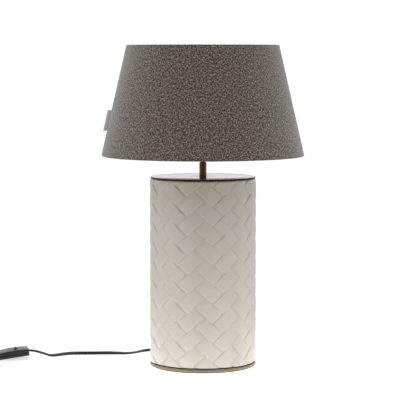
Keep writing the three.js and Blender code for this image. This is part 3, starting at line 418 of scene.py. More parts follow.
def make_weave_group() -> bpy.types.NodeTree:
    """Build the group that draws woven cloth: crossing threads, slubs and two-coloured yarns.

    Returns:
        The group: waves along both directions cross over and under, and stretched noise colours each yarn.
    """
    inputs = [
        ("Vector", "Vector", None),
        ("Dark", "Color", (0.02, 0.02, 0.02, 1)),
        ("Middle", "Color", (0.1, 0.1, 0.1, 1)),
        ("Light", "Color", (0.3, 0.3, 0.3, 1)),
        ("Threads", "Float", 700.0),
        ("Fleck Scale", "Float", 500.0),
        ("Fleck Contrast", "Float", 1.0),
    ]
    outputs = [("Color", "Color"), ("Height", "Float")]
    tree, given, result = new_group("weave", inputs, outputs)
    vector = given.outputs["Vector"]
    wobble = tree.add("ShaderNodeTexNoise", {"Vector": vector, "Scale": 120.0, "Detail": 2.0}).outputs["Fac"]
    shift = tree.math("MULTIPLY", tree.math("SUBTRACT", wobble, 0.5), 0.004)
    parts = tree.add("ShaderNodeSeparateXYZ", {"Vector": vector})
    across = tree.math("ADD", parts.outputs["X"], shift)
    along = tree.math("SUBTRACT", parts.outputs["Y"], shift)
    threads = given.outputs["Threads"]
    warp = tree.math("SINE", tree.math("MULTIPLY", tree.math("MULTIPLY", across, threads), 2 * math.pi))
    weft = tree.math("SINE", tree.math("MULTIPLY", tree.math("MULTIPLY", along, threads), 2 * math.pi))
    cross = tree.math("MULTIPLY", warp, weft)
    fleck_scale = given.outputs["Fleck Scale"]
    flecks = []
    for stretch, seed in (((1.0, 0.35, 1.0), 3.1), ((0.35, 1.0, 1.0), 7.7)):
        moved = tree.add("ShaderNodeVectorMath", {0: vector, 1: stretch}, operation="MULTIPLY").outputs[0]
        shifted = tree.add("ShaderNodeVectorMath", {0: moved, 1: (seed, seed, seed)}).outputs[0]
        noise = tree.add(
            "ShaderNodeTexNoise",
            {"Vector": shifted, "Scale": fleck_scale, "Detail": 3.0, "Roughness": 0.65},
        )
        flecks.append(noise.outputs["Fac"])
    over = tree.remap(cross, -0.3, 0.3, 0.0, 1.0)
    one = tree.math("MULTIPLY", flecks[0], over)
    two = tree.math("MULTIPLY", flecks[1], tree.math("SUBTRACT", 1.0, over))
    yarn = tree.math("ADD", one, two)
    spread = tree.math("MULTIPLY", tree.math("SUBTRACT", yarn, 0.5), given.outputs["Fleck Contrast"])
    dark = tree.remap(spread, -0.16, 0.0, 0.0, 1.0)
    light = tree.remap(spread, 0.0, 0.16, 0.0, 1.0)
    low = tree.mix(dark, given.outputs["Dark"], given.outputs["Middle"])
    color = tree.mix(light, low, given.outputs["Light"])
    height = tree.math("ADD", tree.math("MULTIPLY", cross, 0.3), yarn)
    tree.fill(result, {"Color": color, "Height": height})
    return tree.tree


MOTTLE = make_mottle_group()
WEAVE = make_weave_group()


class Surface(Enum):
    """What a pattern follows."""

    OBJECT = "Object"
    CLOTH = "UV"


def linear(color: tuple[int, int, int]) -> tuple[float, float, float, float]:
    """Turn a colour of 0 to 255 as shown on a screen into the shader's linear values."""
    shown = np.array(color) / 255
    value = np.where(shown <= 0.04045, shown / 12.92, ((shown + 0.055) / 1.055) ** 2.4)
    return (*value.tolist(), 1.0)


def pattern_material(
    name: str, group: bpy.types.NodeTree, follows: Surface, values: dict, bump: tuple[float, float],
    inputs: dict,
) -> bpy.types.Material:
    """Build a material whose colour and bump come from a pattern group, once.

    Args:
        name: The material's name.
        group: The pattern, with Vector in, Color and Height out, and perhaps Roughness.
        follows: What the pattern follows.
        values: The group's other inputs.
        bump: Strength and distance of the bump.
        inputs: The surface shader's other inputs.

    Returns:
        The material.
    """
    if name in bpy.data.materials:
        return bpy.data.materials[name]
    material = bpy.data.materials.new(name)
    material.use_nodes = True
    tree = Tree(material.node_tree)
    place = tree.add("ShaderNodeTexCoord").outputs[follows.value]
    pattern = tree.add("ShaderNodeGroup", node_tree=group)
    tree.fill(pattern, {"Vector": place, **values})
    raised = {"Strength": bump[0], "Distance": bump[1], "Height": pattern.outputs["Height"]}
    normal = tree.add("ShaderNodeBump", raised).outputs["Normal"]
    if "Roughness" in pattern.outputs:
        inputs = {"Roughness": pattern.outputs["Roughness"], **inputs}
    shader = material.node_tree.nodes["Principled BSDF"]
    tree.fill(shader, {"Base Color": pattern.outputs["Color"], "Normal": normal, **inputs})
    return material


@dataclass(frozen=True)
class PlainFinish:
    """A moulded, painted, plated or glazed finish."""

    name: str
    slot: str
    color: tuple[int, int, int]
    tint: tuple[int, int, int]
    roughness: float
    spread: float = 0.08
    metallic: float = 0.0
    patch_scale: float = 45.0
    grain_scale: float = 1200.0
    tint_amount: float = 0.5
    bump: float = 0.00004
    coat: float = 0.0
    coat_roughness: float = 0.1
    subsurface: float = 0.0
    edge_tint: tuple[int, int, int] = (255, 255, 255)

    def material(self) -> bpy.types.Material:
        """Build the finish's material, once."""
        values = {
            "Color": linear(self.color),
            "Tint": linear(self.tint),
            "Patch Scale": self.patch_scale,
            "Grain Scale": self.grain_scale,
            "Tint Amount": self.tint_amount,
            "Roughness": self.roughness,
            "Roughness Spread": self.spread,
        }
        inputs = {
            "Metallic": self.metallic,
            "Coat Weight": self.coat,
            "Coat Roughness": self.coat_roughness,
            "Subsurface Weight": self.subsurface,
            "Subsurface Scale": 0.002,
            "Specular Tint": linear(self.edge_tint),
        }
        return pattern_material(self.name, MOTTLE, Surface.OBJECT, values, (1.0, self.bump), inputs)


@dataclass(frozen=True)
class ClothFinish:
    """A woven finish."""

    name: str
    slot: str
    dark: tuple[int, int, int]
    middle: tuple[int, int, int]
    light: tuple[int, int, int]
    threads: float = 700.0
    fleck_scale: float = 500.0
    contrast: float = 1.0
    bump: float = 0.0006
    sheen: float = 0.2
    follows: Surface = Surface.CLOTH

    def material(self) -> bpy.types.Material:
        """Build the finish's material, once."""
        values = {
            "Dark": linear(self.dark),
            "Middle": linear(self.middle),
            "Light": linear(self.light),
            "Threads": self.threads,
            "Fleck Scale": self.fleck_scale,
            "Fleck Contrast": self.contrast,
        }
        inputs = {
            "Roughness": 0.95,
            "Specular IOR Level": 0.2,
            "Sheen Weight": self.sheen,
            "Sheen Roughness": 0.5,
        }
        return pattern_material(self.name, WEAVE, self.follows, values, (0.6, self.bump), inputs)


GLAZE = PlainFinish(
    "satin_glaze", "glaze", (224, 219, 208), (214, 208, 194), 0.38,
    patch_scale=22.0, grain_scale=700.0, tint_amount=0.6, bump=0.00003, coat=0.4, coat_roughness=0.2,
)
BRONZE = PlainFinish(
    "dark_bronze", "bronze", (128, 102, 72), (88, 68, 46), 0.34, 0.12, 0.9,
    patch_scale=60.0, grain_scale=1500.0, tint_amount=0.6,
)
POLISHED = PlainFinish(
    "polished_plate", "polished_metal", (204, 199, 198), (192, 186, 185), 0.12, 0.03, 1.0,
    patch_scale=14.0, grain_scale=1500.0, bump=0.000002, edge_tint=(212, 208, 208),
)
# painted shade: the top plate's edge takes a darker copy of the bronze, for the dark surroundings it reflects
SHADED_EDGE_BRONZE = PlainFinish("plate_edge_bronze_painted_shade", "bronze", (74, 50, 32), (46, 30, 18), 0.3, 0.1, 0.9, 60.0)
FOOT_BRONZE = PlainFinish("foot_bronze", "bronze", (150, 133, 111), (118, 103, 83), 0.3, 0.12, 0.95, 60.0)
ZINC = PlainFinish("zinc_plate", "zinc", (196, 198, 200), (168, 170, 172), 0.34, 0.12, 1.0, 90.0)
BRASS = PlainFinish("plain_brass", "brass", (196, 160, 96), (160, 124, 66), 0.3, 0.12, 1.0, 90.0)
RUBBER = PlainFinish("dark_rubber", "rubber", (48, 44, 40), (34, 31, 29), 0.75)
BLACK = PlainFinish(
    "black_plastic_skin", "black_plastic", (34, 34, 37), (26, 26, 29), 0.42,
    patch_scale=70.0, grain_scale=2200.0, tint_amount=0.6, bump=0.00005,
)
CORD_BLACK = PlainFinish(
    "cord_sheath", "black_cord", (22, 22, 24), (14, 14, 16), 0.4, 0.1, patch_scale=60.0, grain_scale=1500.0
)
PORCELAIN = PlainFinish("porcelain_white", "porcelain", (236, 232, 222), (222, 217, 204), 0.35)
LINING = PlainFinish(
    "lining_white", "lining", (232, 226, 212), (222, 214, 198), 0.7, 0.1,
    patch_scale=30.0, grain_scale=900.0, tint_amount=0.6,
)
WIRE = PlainFinish("white_powder_coat", "white_wire", (222, 221, 216), (206, 204, 198), 0.4, 0.1, 0.0, 60.0)
OPAL = PlainFinish(
    "opal_glass", "opal", (246, 243, 236), (238, 234, 224), 0.25, 0.06,
    patch_scale=40.0, grain_scale=900.0, bump=0.00001, coat=0.3, subsurface=0.3,
)
BLUE = PlainFinish("blue_insulation", "core_blue", (44, 92, 168), (34, 74, 142), 0.4)
BROWN = PlainFinish("brown_insulation", "core_brown", (108, 68, 44), (84, 52, 34), 0.4)
TWEED = ClothFinish(
    "shade_tweed", "tweed", (12, 10, 8), (62, 55, 47), (208, 195, 178),
    threads=760.0, fleck_scale=900.0, contrast=1.35, bump=0.0005, sheen=0.6,
)
RIBBON = ClothFinish(
    "label_ribbon", "ribbon", (200, 196, 210), (222, 219, 230), (244, 242, 250),
    threads=1600.0, fleck_scale=1500.0, contrast=0.6, bump=0.0002, sheen=0.3,
)
FELT = ClothFinish(
    "felt_fibres", "felt", (20, 18, 16), (38, 34, 30), (58, 52, 46),
    threads=900.0, fleck_scale=700.0, contrast=1.2, bump=0.0008, sheen=0.4, follows=Surface.OBJECT,
)
Finish = PlainFinish | ClothFinish


def dress(piece: bpy.types.Object, finish: Finish, body: str, *nodes: str) -> bpy.types.Object:
    """Give a piece its material, its body and the CAD nodes that it stands for.

    Args:
        piece: The new piece.
        finish: Its finish.
        body: The CAD body that it rides on.
        *nodes: CAD nodes that it replaces.

    Returns:
        The piece.
    """
    piece.data.materials.clear()
    piece.data.materials.append(finish.material())
    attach(piece, body)
    if nodes:
        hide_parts(*nodes)
    LOG.info("%s: %d faces", piece.name, len(piece.data.polygons))
    return piece


def dress_node(node: str, finish: Finish) -> None:
    """Give a CAD node that keeps its shape a material."""
    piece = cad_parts[node]
    piece.data.materials.clear()
    piece.data.materials.append(finish.material())
    LOG.info("%s: kept", node)


def ring(
    node: str, name: str, inner: float, rounding: float, segments: int, finish: Finish,
    body: str = "base", outer: float | None = None, relief: Relief | None = None,
) -> bpy.types.Object:
    """Make and dress a turned ring or disc with rounded edges, as high as its CAD node.

    Args:
        node: The CAD node that it replaces.
        name: The new piece's name.
        inner: Radius of its hole, zero for a disc.
        rounding: Width of its rounded edges.
        segments: Steps round the axis.
        finish: Its finish.
        body: The CAD body that it rides on.
        outer: Its radius, if it isn't the node's own.
        relief: Adds to the radius.

    Returns:
        The new piece.
    """
    low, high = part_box(node)
    outline = soften(box_outline(inner, outer or high.x, low.z, high.z), rounding)
    return dress(turned(name, outline, segments, relief), finish, body, node)


def paint_cloth(piece: bpy.types.Object, across: Array, along: Array, columns: int) -> None:
    """Write a UV map in metres from each vertex's place in a grid of the cloth.

    Args:
        piece: A mesh whose vertices are the grid's, row by row.
        across: Distance across the cloth of each column, with one more for the closing column.
        along: Distance along the cloth of each row.
        columns: Number of columns.
    """
    mesh = piece.data
    index = np.empty(len(mesh.loops), np.int64)
    mesh.loops.foreach_get("vertex_index", index)
    row, column = index // columns, index % columns
    start = np.empty(len(mesh.polygons), np.int64)
    mesh.polygons.foreach_get("loop_start", start)
    face = np.repeat(np.arange(len(start)), np.diff(np.append(start, len(index))))
    last = np.zeros(len(start), bool)
    np.logical_or.at(last, face, column == columns - 1)
    column = np.where(last[face] & (column == 0), columns, column)
    layer = mesh.uv_layers.new(name="cloth")
    layer.data.foreach_set("uv", np.stack([across[column], along[row]], -1).ravel())


# ---------------------------------------------------------------- studio


@dataclass
class Studio:
    """Camera, floor and a sky that lights from chosen sides, each with its own strength."""

    eye: Vector = Vector((-0.0043, -2.679, 0.4621))
    pitch: float = 4.602
    lens: float = 163.3
    left_low: float = 0.8
    left_high: float = 1.1
    right_low: float = 0.7
    right_high: float = 0.85
    front_low: float = 0.0
    front_high: float = 0.0
    behind_low: float = 1.0
    behind_high: float = 1.1
    above: float = 2.0
    floor_shine: float = 0.62
    painted_pool_glow: float = 1.25
    pool_radius: float = 0.35
    floor_color: float = 0.3
    side_power: float = 4.0
    depth_power: float = 2.0

    def build(self) -> None:
        """Make the camera, the floor and the sky."""
        self.make_camera()
        self.make_floor()
        self.make_world()

    def make_camera(self) -> None:
        """Place the camera level with the shade, looking slightly down."""
        data = bpy.data.cameras.new("camera")
        data.lens = self.lens
        data.sensor_width = 36.0
        data.clip_end = 50.0
        camera = bpy.data.objects.new("camera", data)
        camera.location = self.eye
        camera.rotation_euler = (math.radians(90 - self.pitch), 0, 0)
        bpy.context.scene.collection.objects.link(camera)
        bpy.context.scene.camera = camera

    def make_floor(self) -> None:
        """Lay a pale floor under the lamp, glowing in a painted light pool of strength exp(-(distance /
        radius)^2).
        """
        half = 6.0
        corners = [(-half, -half, 0), (half, -half, 0), (half, half, 0), (-half, half, 0)]
        mesh = bpy.data.meshes.new("floor")
        mesh.from_pydata(corners, [], [(0, 1, 2, 3)])
        floor = bpy.data.objects.new("floor", mesh)
        bpy.context.scene.collection.objects.link(floor)
        material = bpy.data.materials.new("floor_white")
        material.use_nodes = True
        shader = material.node_tree.nodes["Principled BSDF"]
        shader.inputs["Base Color"].default_value = (self.floor_color, self.floor_color, self.floor_color, 1)
        shader.inputs["Roughness"].default_value = 0.8
        shader.inputs["Specular IOR Level"].default_value = 0.05
        shader.inputs["Emission Color"].default_value = (1, 1, 1, 1)
        tree = Tree(material.node_tree)
        seen = tree.add("ShaderNodeLightPath").outputs["Is Camera Ray"]
        place = tree.add("ShaderNodeTexCoord").outputs["Object"]
        distance = tree.add("ShaderNodeVectorMath", {0: place}, operation="LENGTH").outputs["Value"]
        # painted light pool: near the lamp the floor itself glows and lights the lamp from below
        near = tree.math("POWER", tree.math("DIVIDE", distance, self.pool_radius), 2.0)
        fall = tree.math("EXPONENT", tree.math("MULTIPLY", near, -1.0))
        pool = tree.math("MULTIPLY", fall, self.painted_pool_glow)
        missing = tree.math("MAXIMUM", tree.math("SUBTRACT", self.floor_shine, pool), 0.0)
        glow = tree.math("ADD", pool, tree.math("MULTIPLY", seen, missing))
        tree.tree.links.new(glow, shader.inputs["Emission Strength"])
        mesh.materials.append(material)

    def make_world(self) -> None:
        """Light the scene from a sky that is a sum of soft patches.

        Towards a side, a patch is the direction's share of that side to a power, times (1 - z)^2 low down and
        4 z (1 - z) higher up. Straight above it is z^2.
        """
        world = bpy.data.worlds.new("soft_studio")
        bpy.context.scene.world = world
        world.use_nodes = True
        tree = Tree(world.node_tree)
        way = tree.add("ShaderNodeTexCoord").outputs["Generated"]
        parts = tree.add("ShaderNodeSeparateXYZ", {"Vector": way}).outputs
        up = tree.math("MAXIMUM", parts["Z"], 0.0)
        down = tree.math("SUBTRACT", 1.0, up)
        low_part = tree.math("MULTIPLY", down, down)
        high_part = tree.math("MULTIPLY", tree.math("MULTIPLY", up, down), 4.0)
        strength = tree.math("MULTIPLY", tree.math("MULTIPLY", up, up), self.above)
        sides = (
            ("X", -1.0, self.side_power, self.left_low, self.left_high),
            ("X", 1.0, self.side_power, self.right_low, self.right_high),
            ("Y", -1.0, self.depth_power, self.front_low, self.front_high),
            ("Y", 1.0, self.depth_power, self.behind_low, self.behind_high),
        )
        for axis, sign, power, low, high in sides:
            toward = tree.math("MAXIMUM", tree.math("MULTIPLY", parts[axis], sign), 0.0)
            share = tree.math("POWER", toward, power)
            column = tree.math("MULTIPLY_ADD", low_part, low, tree.math("MULTIPLY", high_part, high))
            strength = tree.math("MULTIPLY_ADD", share, column, strength)
        seen = tree.add("ShaderNodeLightPath").outputs["Is Camera Ray"]
        unseen = tree.math("SUBTRACT", 1.0, seen)
        shown = tree.math("ADD", tree.math("MULTIPLY", strength, unseen), tree.math("MULTIPLY", seen, 1.05))
        background = world.node_tree.nodes["Background"]
        tree.tree.links.new(shown, background.inputs["Strength"])
        background.inputs["Color"].default_value = (1.0, 1.0, 1.0, 1)


# ---------------------------------------------------------------- cord


def smooth_route(points: Array, spacing: float) -> Array:
    """Run a centripetal Catmull-Rom curve through points, extra columns such as a roll going with them.

    Args:
        points: Rows of x, y, z and any further values.
        spacing: Wanted distance between the curve's points.

    Returns:
        The curve's points, evenly spaced along it.
    """
    ends = (2 * points[0] - points[1], 2 * points[-1] - points[-2])
    p = np.vstack([ends[0], points, ends[1]])
    knots = np.r_[0, np.cumsum(np.sqrt(np.linalg.norm(np.diff(p[:, :3], axis=0), axis=1)))]
    t0, t1, t2, t3 = (knots[i : len(p) - 3 + i, None, None] for i in range(4))
    p0, p1, p2, p3 = (p[i : len(p) - 3 + i, None, :] for i in range(4))
    t = t1 + (t2 - t1) * np.linspace(0, 1, 24, endpoint=False)[None, :, None]
    a1 = (t1 - t) / (t1 - t0) * p0 + (t - t0) / (t1 - t0) * p1
    a2 = (t2 - t) / (t2 - t1) * p1 + (t - t1) / (t2 - t1) * p2
    a3 = (t3 - t) / (t3 - t2) * p2 + (t - t2) / (t3 - t2) * p3
    b1 = (t2 - t) / (t2 - t0) * a1 + (t - t0) / (t2 - t0) * a2
    b2 = (t3 - t) / (t3 - t1) * a2 + (t - t1) / (t3 - t1) * a3
    curve = (t2 - t) / (t2 - t1) * b1 + (t - t1) / (t2 - t1) * b2
    curve = np.vstack([curve.reshape(-1, p.shape[1]), points[-1]])
    run = np.r_[0, np.cumsum(np.linalg.norm(np.diff(curve[:, :3], axis=0), axis=1))]
    even = np.linspace(0, run[-1], max(2, round(run[-1] / spacing)) + 1)
    return np.stack([np.interp(even, run, curve[:, k]) for k in range(curve.shape[1])], -1)


@dataclass
class Coil:
    """The spare cord, wound three turns wide and up in layers, on edge."""

    centre: tuple[float, float, float] = (-0.375, 0.0834, 0.001)
    outer_turn: float = 0.0359
    pitch: float = 0.0052
    turns: float = 6.75
    wide: int = 3

    def points(self) -> Array:
        """Wind the coil clockwise from its front, one slot a turn, easing into the next slot.

        Returns:
            Rows of x, y, z and roll, 72 to a turn. Turn k runs in an outer, middle or inner ring, and their
            order reverses from layer to layer.
        """
        turn = np.linspace(0, self.turns, round(self.turns * 72) + 1)
        k = np.minimum(np.floor(turn + 1e-9), math.floor(self.turns))
        ease = np.clip((turn - k - 0.75) / 0.25, 0, 1)
        ease = ease * ease * (3 - 2 * ease)
        ring, layer = self.slot(k)
        next_ring, next_layer = self.slot(k + 1)
        last = k + 1 > math.floor(self.turns)
        ring = np.where(last, ring, ring + (next_ring - ring) * ease)
        layer = np.where(last, layer, layer + (next_layer - layer) * ease)
        radius = self.outer_turn - self.pitch * ring
        angle = -np.pi / 2 - 2 * np.pi * turn
        x0, y0, z0 = self.centre
        z = z0 + self.pitch * (layer + 0.5)
        roll = np.full_like(turn, 90.0)
        return np.stack([x0 + radius * np.cos(angle), y0 + radius * np.sin(angle), z, roll], -1)

    def slot(self, k: Array) -> tuple[Array, Array]:
        """Return the ring, 0 outermost, and the layer of turn k."""
        layer = np.floor(k / self.wide)
        step = k - layer * self.wide
        return np.where(layer % 2 == 0, step, self.wide - 1 - step), layer


@dataclass
class FlatCord:
    """Flat two-core cord, with a faint groove between its cores."""

    width: float = 0.0052
    thickness: float = 0.0032
    sides: int = 20

    def section(self) -> Array:
        """Return the section: a superellipse of power three, x = a cos^(2/3), y = b sin^(2/3), grooved."""
        t = np.linspace(0, 2 * np.pi, self.sides, endpoint=False)
        x = self.width / 2 * np.sign(np.cos(t)) * np.abs(np.cos(t)) ** (2 / 3)
        y = self.thickness / 2 * np.sign(np.sin(t)) * np.abs(np.sin(t)) ** (2 / 3)
        return np.stack([x, y * (1 - 0.1 * np.exp(-((x / (0.12 * self.width)) ** 2)))], -1)

    def rest(self, route: Array) -> Array:
        """Raise a route to the floor where its rolled section would dip under.

        The half height of a section of power three rolled by r is
        ((a sin r)^(3/2) + (b cos r)^(3/2))^(2/3).
        """
        roll = np.radians(route[:, 3])
        wide, thin = self.width / 2 * np.abs(np.sin(roll)), self.thickness / 2 * np.abs(np.cos(roll))
        half = (wide**1.5 + thin**1.5) ** (2 / 3)
        rested = route.copy()
        rested[:, 2] = np.maximum(route[:, 2], half + 0.03 * MM)
        return rested

    def sweep(self, name: str, route: Array) -> bpy.types.Object:
        """Carry the section along a route whose fourth column is its roll in degrees.

        Args:
            name: The piece's name.
            route: Evenly spaced rows of x, y, z and roll.

        Returns:
            The cord, closed at both ends. Each ring lies in the plane of the level side direction and the
            direction square to it, turned by the roll.
        """
        place, roll = route[:, :3], np.radians(route[:, 3])[:, None]
        tangent = np.gradient(place, axis=0)
        tangent /= np.linalg.norm(tangent, axis=1, keepdims=True)
        level = np.cross(tangent, [0.0, 0.0, 1.0])
        level /= np.linalg.norm(level, axis=1, keepdims=True)
        upward = np.cross(level, tangent)
        wide = level * np.cos(roll) + upward * np.sin(roll)
        thin = upward * np.cos(roll) - level * np.sin(roll)
        x, y = self.section().T
        rings = place[:, None] + wide[:, None] * x[None, :, None] + thin[:, None] * y[None, :, None]
        count = len(place)
        faces = quads(count, self.sides, False, True).tolist()
        faces.append(list(range(self.sides)))
        faces.append(list(range((count - 1) * self.sides, count * self.sides)))
        return make_object(name, rings, faces, 60.0)


@dataclass
class Cords:
    """The free cord: from the body to the switch, and from the switch through the coil to the plug."""

    cord: FlatCord
    coil: Coil
    spacing: float = 0.0022

    def lead(self) -> Array:
        """Return the listed run from the gland to the switch, in metres and degrees of roll."""
        return np.array([
            (0.0, 103.1, 18.0, 0), (-0.3, 110, 17.7, 5), (-5, 119.5, 15.4, 15), (-19, 127, 10.6, 25),
            (-38, 128, 6.4, 30), (-58, 125.6, 3.6, 35), (-73, 124.2, 2.2, 35), (-85, 121.5, 2.0, 32),
            (-94.5, 114, 2.0, 22), (-103.5, 102, 2.0, 3), (-117, 93, 2.0, 18), (-132, 92, 2.0, 40),
            (-147, 91.4, 2.4, 64), (-163, 90.2, 2.6, 76), (-180, 89.4, 2.6, 80), (-195, 89.2, 2.6, 56),
            (-206, 87.6, 2.4, 44), (-214, 82.8, 2.2, 40), (-222, 76.8, 2.0, 32), (-229.4, 72.5, 2.0, 20),
            (-236, 69, 3.3, 12), (-243, 66, 6.2, 8), (-251, 64, 8.9, 6), (-257, 62.6, 10.6, 3),
            (-265.5, 61.5, 11.7, 0),
        ]) * [MM, MM, MM, 1]

    def tail(self) -> Array:
        """Return the listed run from the switch to the coil."""
        return np.array([
            (-312.5, 52.8, 5.4, 0), (-320, 51.2, 4.9, 20), (-328, 49.6, 4.2, 45), (-337, 48.2, 3.7, 70),
            (-345, 47.6, 3.6, 84), (-353, 47.5, 3.6, 90), (-364, 47.5, 3.6, 90),
        ]) * [MM, MM, MM, 1]

    def end(self) -> Array:
        """Return the listed run from the coil to the plug, humped over the run that comes in."""
        return np.array([
            (-339.1, 72, 13.4, 90), (-338.8, 62, 11.9, 84), (-338.3, 54, 10.6, 60), (-338, 47, 9.6, 30),
            (-337.7, 38, 8.5, 10), (-337.5, 30, 7.4, 0), (-337.5, 24.3, 7.0, 0),
        ]) * [MM, MM, MM, 1]

    def reach(self, route: Array, before: float, after: float) -> Array:
        """Run a route straight on at both ends, into the pieces that hold it."""
        first = route[0] + (route[0] - route[1]) / np.linalg.norm((route[0] - route[1])[:3]) * before
        last = route[-1] + (route[-1] - route[-2]) / np.linalg.norm((route[-1] - route[-2])[:3]) * after
        return np.vstack([first[None], route, last[None]])

    def build(self) -> None:
        """Make and dress both cords."""
        laid = self.cord.rest(smooth_route(self.lead(), self.spacing))
        lead_route = self.reach(laid, 2 * MM, 4 * MM)
        lead = self.cord.sweep("mains_cord_lead", lead_route)
        dress(lead, CORD_BLACK, "base", "cord_lead")
        wound = smooth_route(np.vstack([self.tail(), self.coil.points(), self.end()]), self.spacing)
        tail_route = self.reach(self.cord.rest(wound), 4 * MM, 2 * MM)
        tail = self.cord.sweep("mains_cord_tail", tail_route)
        dress(tail, CORD_BLACK, "base", "cord_tail", "cord_coil", "cord_end")
        self.routes = (lead, lead_route, tail, tail_route)

    def declare(self, gland: list, switch: list, plug: list) -> None:
        lead, lead_route, tail, tail_route = self.routes
        for piece, route, length, end, exit_at, pieces, lay in (
            (lead, lead_route, 0.306, "fitting", (0.0, 0.1027, 0.018), gland + switch, "loose"),
            (tail, tail_route, 1.446, "plug", (-0.3119, 0.0529, 0.0054), plug, "coiled"),
        ):
            run = float(np.linalg.norm(np.diff(route[:, :3], axis=0), axis=1).sum())
            LOG.info("%s: %.4f m", piece.name, run)


# ---------------------------------------------------------------- base


@dataclass
class CeramicBody:
    """Glazed cylinder with a woven relief: slanting strips whose ends dip under their neighbours.

    The strips lie on a lattice of cells. A strip is 17 cells long and 10 wide on the slant, the pattern
    repeats every 34 cells round and every 20 cells down, and mesh edges follow the strips' edges.
    """

    repeats: int = 9
    long_cells: int = 17
    wide_cells: int = 10
    repeat_height: float = 28.3 * MM
    first_corner_angle: float = 2.4
    first_corner_height: float = 252.0 * MM
    pillow: float = 1.05 * MM
    shoulder_drop: float = 0.75 * MM
    groove: float = 0.14 * MM
    shoulder: float = 3.2 * MM
    wall: float = 7 * MM
    hole: float = 5.3 * MM

    def strip(self, x: Array, y: Array) -> tuple[Array, Array, Array]:
        """Find the strip under each lattice point.

        Args:
            x: Cells to the right of a corner.
            y: Cells below it.

        Returns:
            The strip's number, the place along it and the place across it, both 0 to 1.
        """
        long, wide = self.long_cells, self.wide_cells
        p, q = (x + y) / 2, (y - x) / 2
        number, along, across = np.zeros(x.shape, int), np.zeros(x.shape), np.zeros(x.shape)
        for step_m in (0, 1):
            for step_n in (-1, 0, 1):
                m = np.floor(x / (2 * long)) + step_m
                n = np.floor(y / (2 * wide)) + step_n
                p0, q0 = long * m + wide * n, wide * n - long * m
                falling = (p >= p0) & (p < p0 + long) & (q >= q0) & (q < q0 + wide)
                rising = (p >= p0 - wide) & (p < p0) & (q >= q0) & (q < q0 + long)
                name = (np.mod(m, self.repeats) * 200 + n + 100).astype(int) * 2
                number = np.where(falling, name, np.where(rising, name + 1, number))
                along = np.where(falling, (p - p0) / long, np.where(rising, (q - q0) / long, along))
                across = np.where(falling, (q - q0) / wide, np.where(rising, (p0 - p) / wide, across))
        return number, along, across

    def height(self, x: Array, y: Array) -> Array:
        """Return the relief at lattice points, as a depth below the outermost surface.

        Each strip is a pillow, (1 - t^2), with a sharper fall at its very ends, (1 - t^8), and is slightly
        crowned across. A vertex on an edge takes the lowest of the strips that meet there, less the groove.
        """
        luck = np.random.default_rng(11).normal(0, 0.06 * MM, self.repeats * 400 + 400)
        lowest, highest_name, lowest_name = None, None, None
        for dx, dy in ((-0.2, 0), (0.2, 0), (0, -0.2), (0, 0.2)):
            number, along, across = self.strip(x + dx, y + dy)
            t, s = np.abs(2 * along - 1), np.abs(2 * across - 1)
            rise = self.pillow * (1 - t**2) + self.shoulder_drop * (1 - t**8) - 0.15 * MM * s**4
            rise = rise + luck[number % len(luck)]
            lowest = rise if lowest is None else np.minimum(lowest, rise)
            highest_name = number if highest_name is None else np.maximum(highest_name, number)
            lowest_name = number if lowest_name is None else np.minimum(lowest_name, number)
        on_edge = highest_name != lowest_name
        return lowest - self.groove * on_edge - self.pillow - self.shoulder_drop

    def build(self) -> None:
        """Make the relief's mesh from triangles whose diagonals follow the strips' edges."""
        low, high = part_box("ceramic_body")
        radius, bottom, top = high.x - 0.05 * MM, low.z, high.z
        columns = 2 * self.long_cells * self.repeats
        cell = self.repeat_height / (2 * self.wide_cells)
        above = math.ceil((top - self.first_corner_height) / cell)
        below = math.ceil((self.first_corner_height - bottom) / cell)
        y, x = np.meshgrid(np.arange(-above, below + 1), np.arange(columns), indexing="ij")
        angle = math.radians(self.first_corner_angle) + 2 * np.pi * x / columns
        height = np.clip(self.first_corner_height - y * cell, bottom, top)
        over = np.clip(height - (top - self.shoulder), 0, self.shoulder)
        fade = np.clip((top - height) / (1.5 * MM), 0, 1)
        rounding = self.shoulder - np.sqrt(self.shoulder**2 - over**2)
        reach = radius + self.height(x.astype(float), y.astype(float)) * fade - rounding
        rings_r = np.vstack([reach, np.full((2, columns), radius - self.wall)])
        rings_z = np.vstack([height, np.full((1, columns), bottom), np.full((1, columns), top)])
        ring_angle = np.vstack([angle, angle[:2]])
        points = np.stack([rings_r * np.sin(ring_angle), -rings_r * np.cos(ring_angle), rings_z], -1)
        cells = quads(len(rings_r), columns, True, True)
        mid_x, mid_y = np.meshgrid(np.arange(columns) + 0.5, np.arange(-above, below) + 0.5)
        upper = self.strip(mid_x + 0.3, mid_y - 0.3)[0]
        lower = self.strip(mid_x - 0.3, mid_y + 0.3)[0]
        falling = np.zeros(len(cells), bool)
        falling[: mid_x.size] = (upper != lower).ravel()
        one = np.where(falling[:, None], cells[:, [0, 1, 2]], cells[:, [0, 1, 3]])
        two = np.where(falling[:, None], cells[:, [0, 2, 3]], cells[:, [1, 2, 3]])
        faces = np.vstack([one, two]).tolist()
        piece = make_object("woven_relief_body", points, faces, 24.0)
        bore(piece, self.cord_hole())
        dress(piece, GLAZE, "base", "ceramic_body")


    def cord_hole(self) -> bpy.types.Object:
        """Make the cylinder that bores the cord's hole at the back."""
        low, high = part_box("cord_gland")
        start, end = 60 * MM, 90 * MM
        outline = np.array([[0, start], [self.hole, start], [self.hole, end], [0, end]])
        return turned_along_y("cord_hole_cutter", outline, (0.0, (low.z + high.z) / 2), 48)


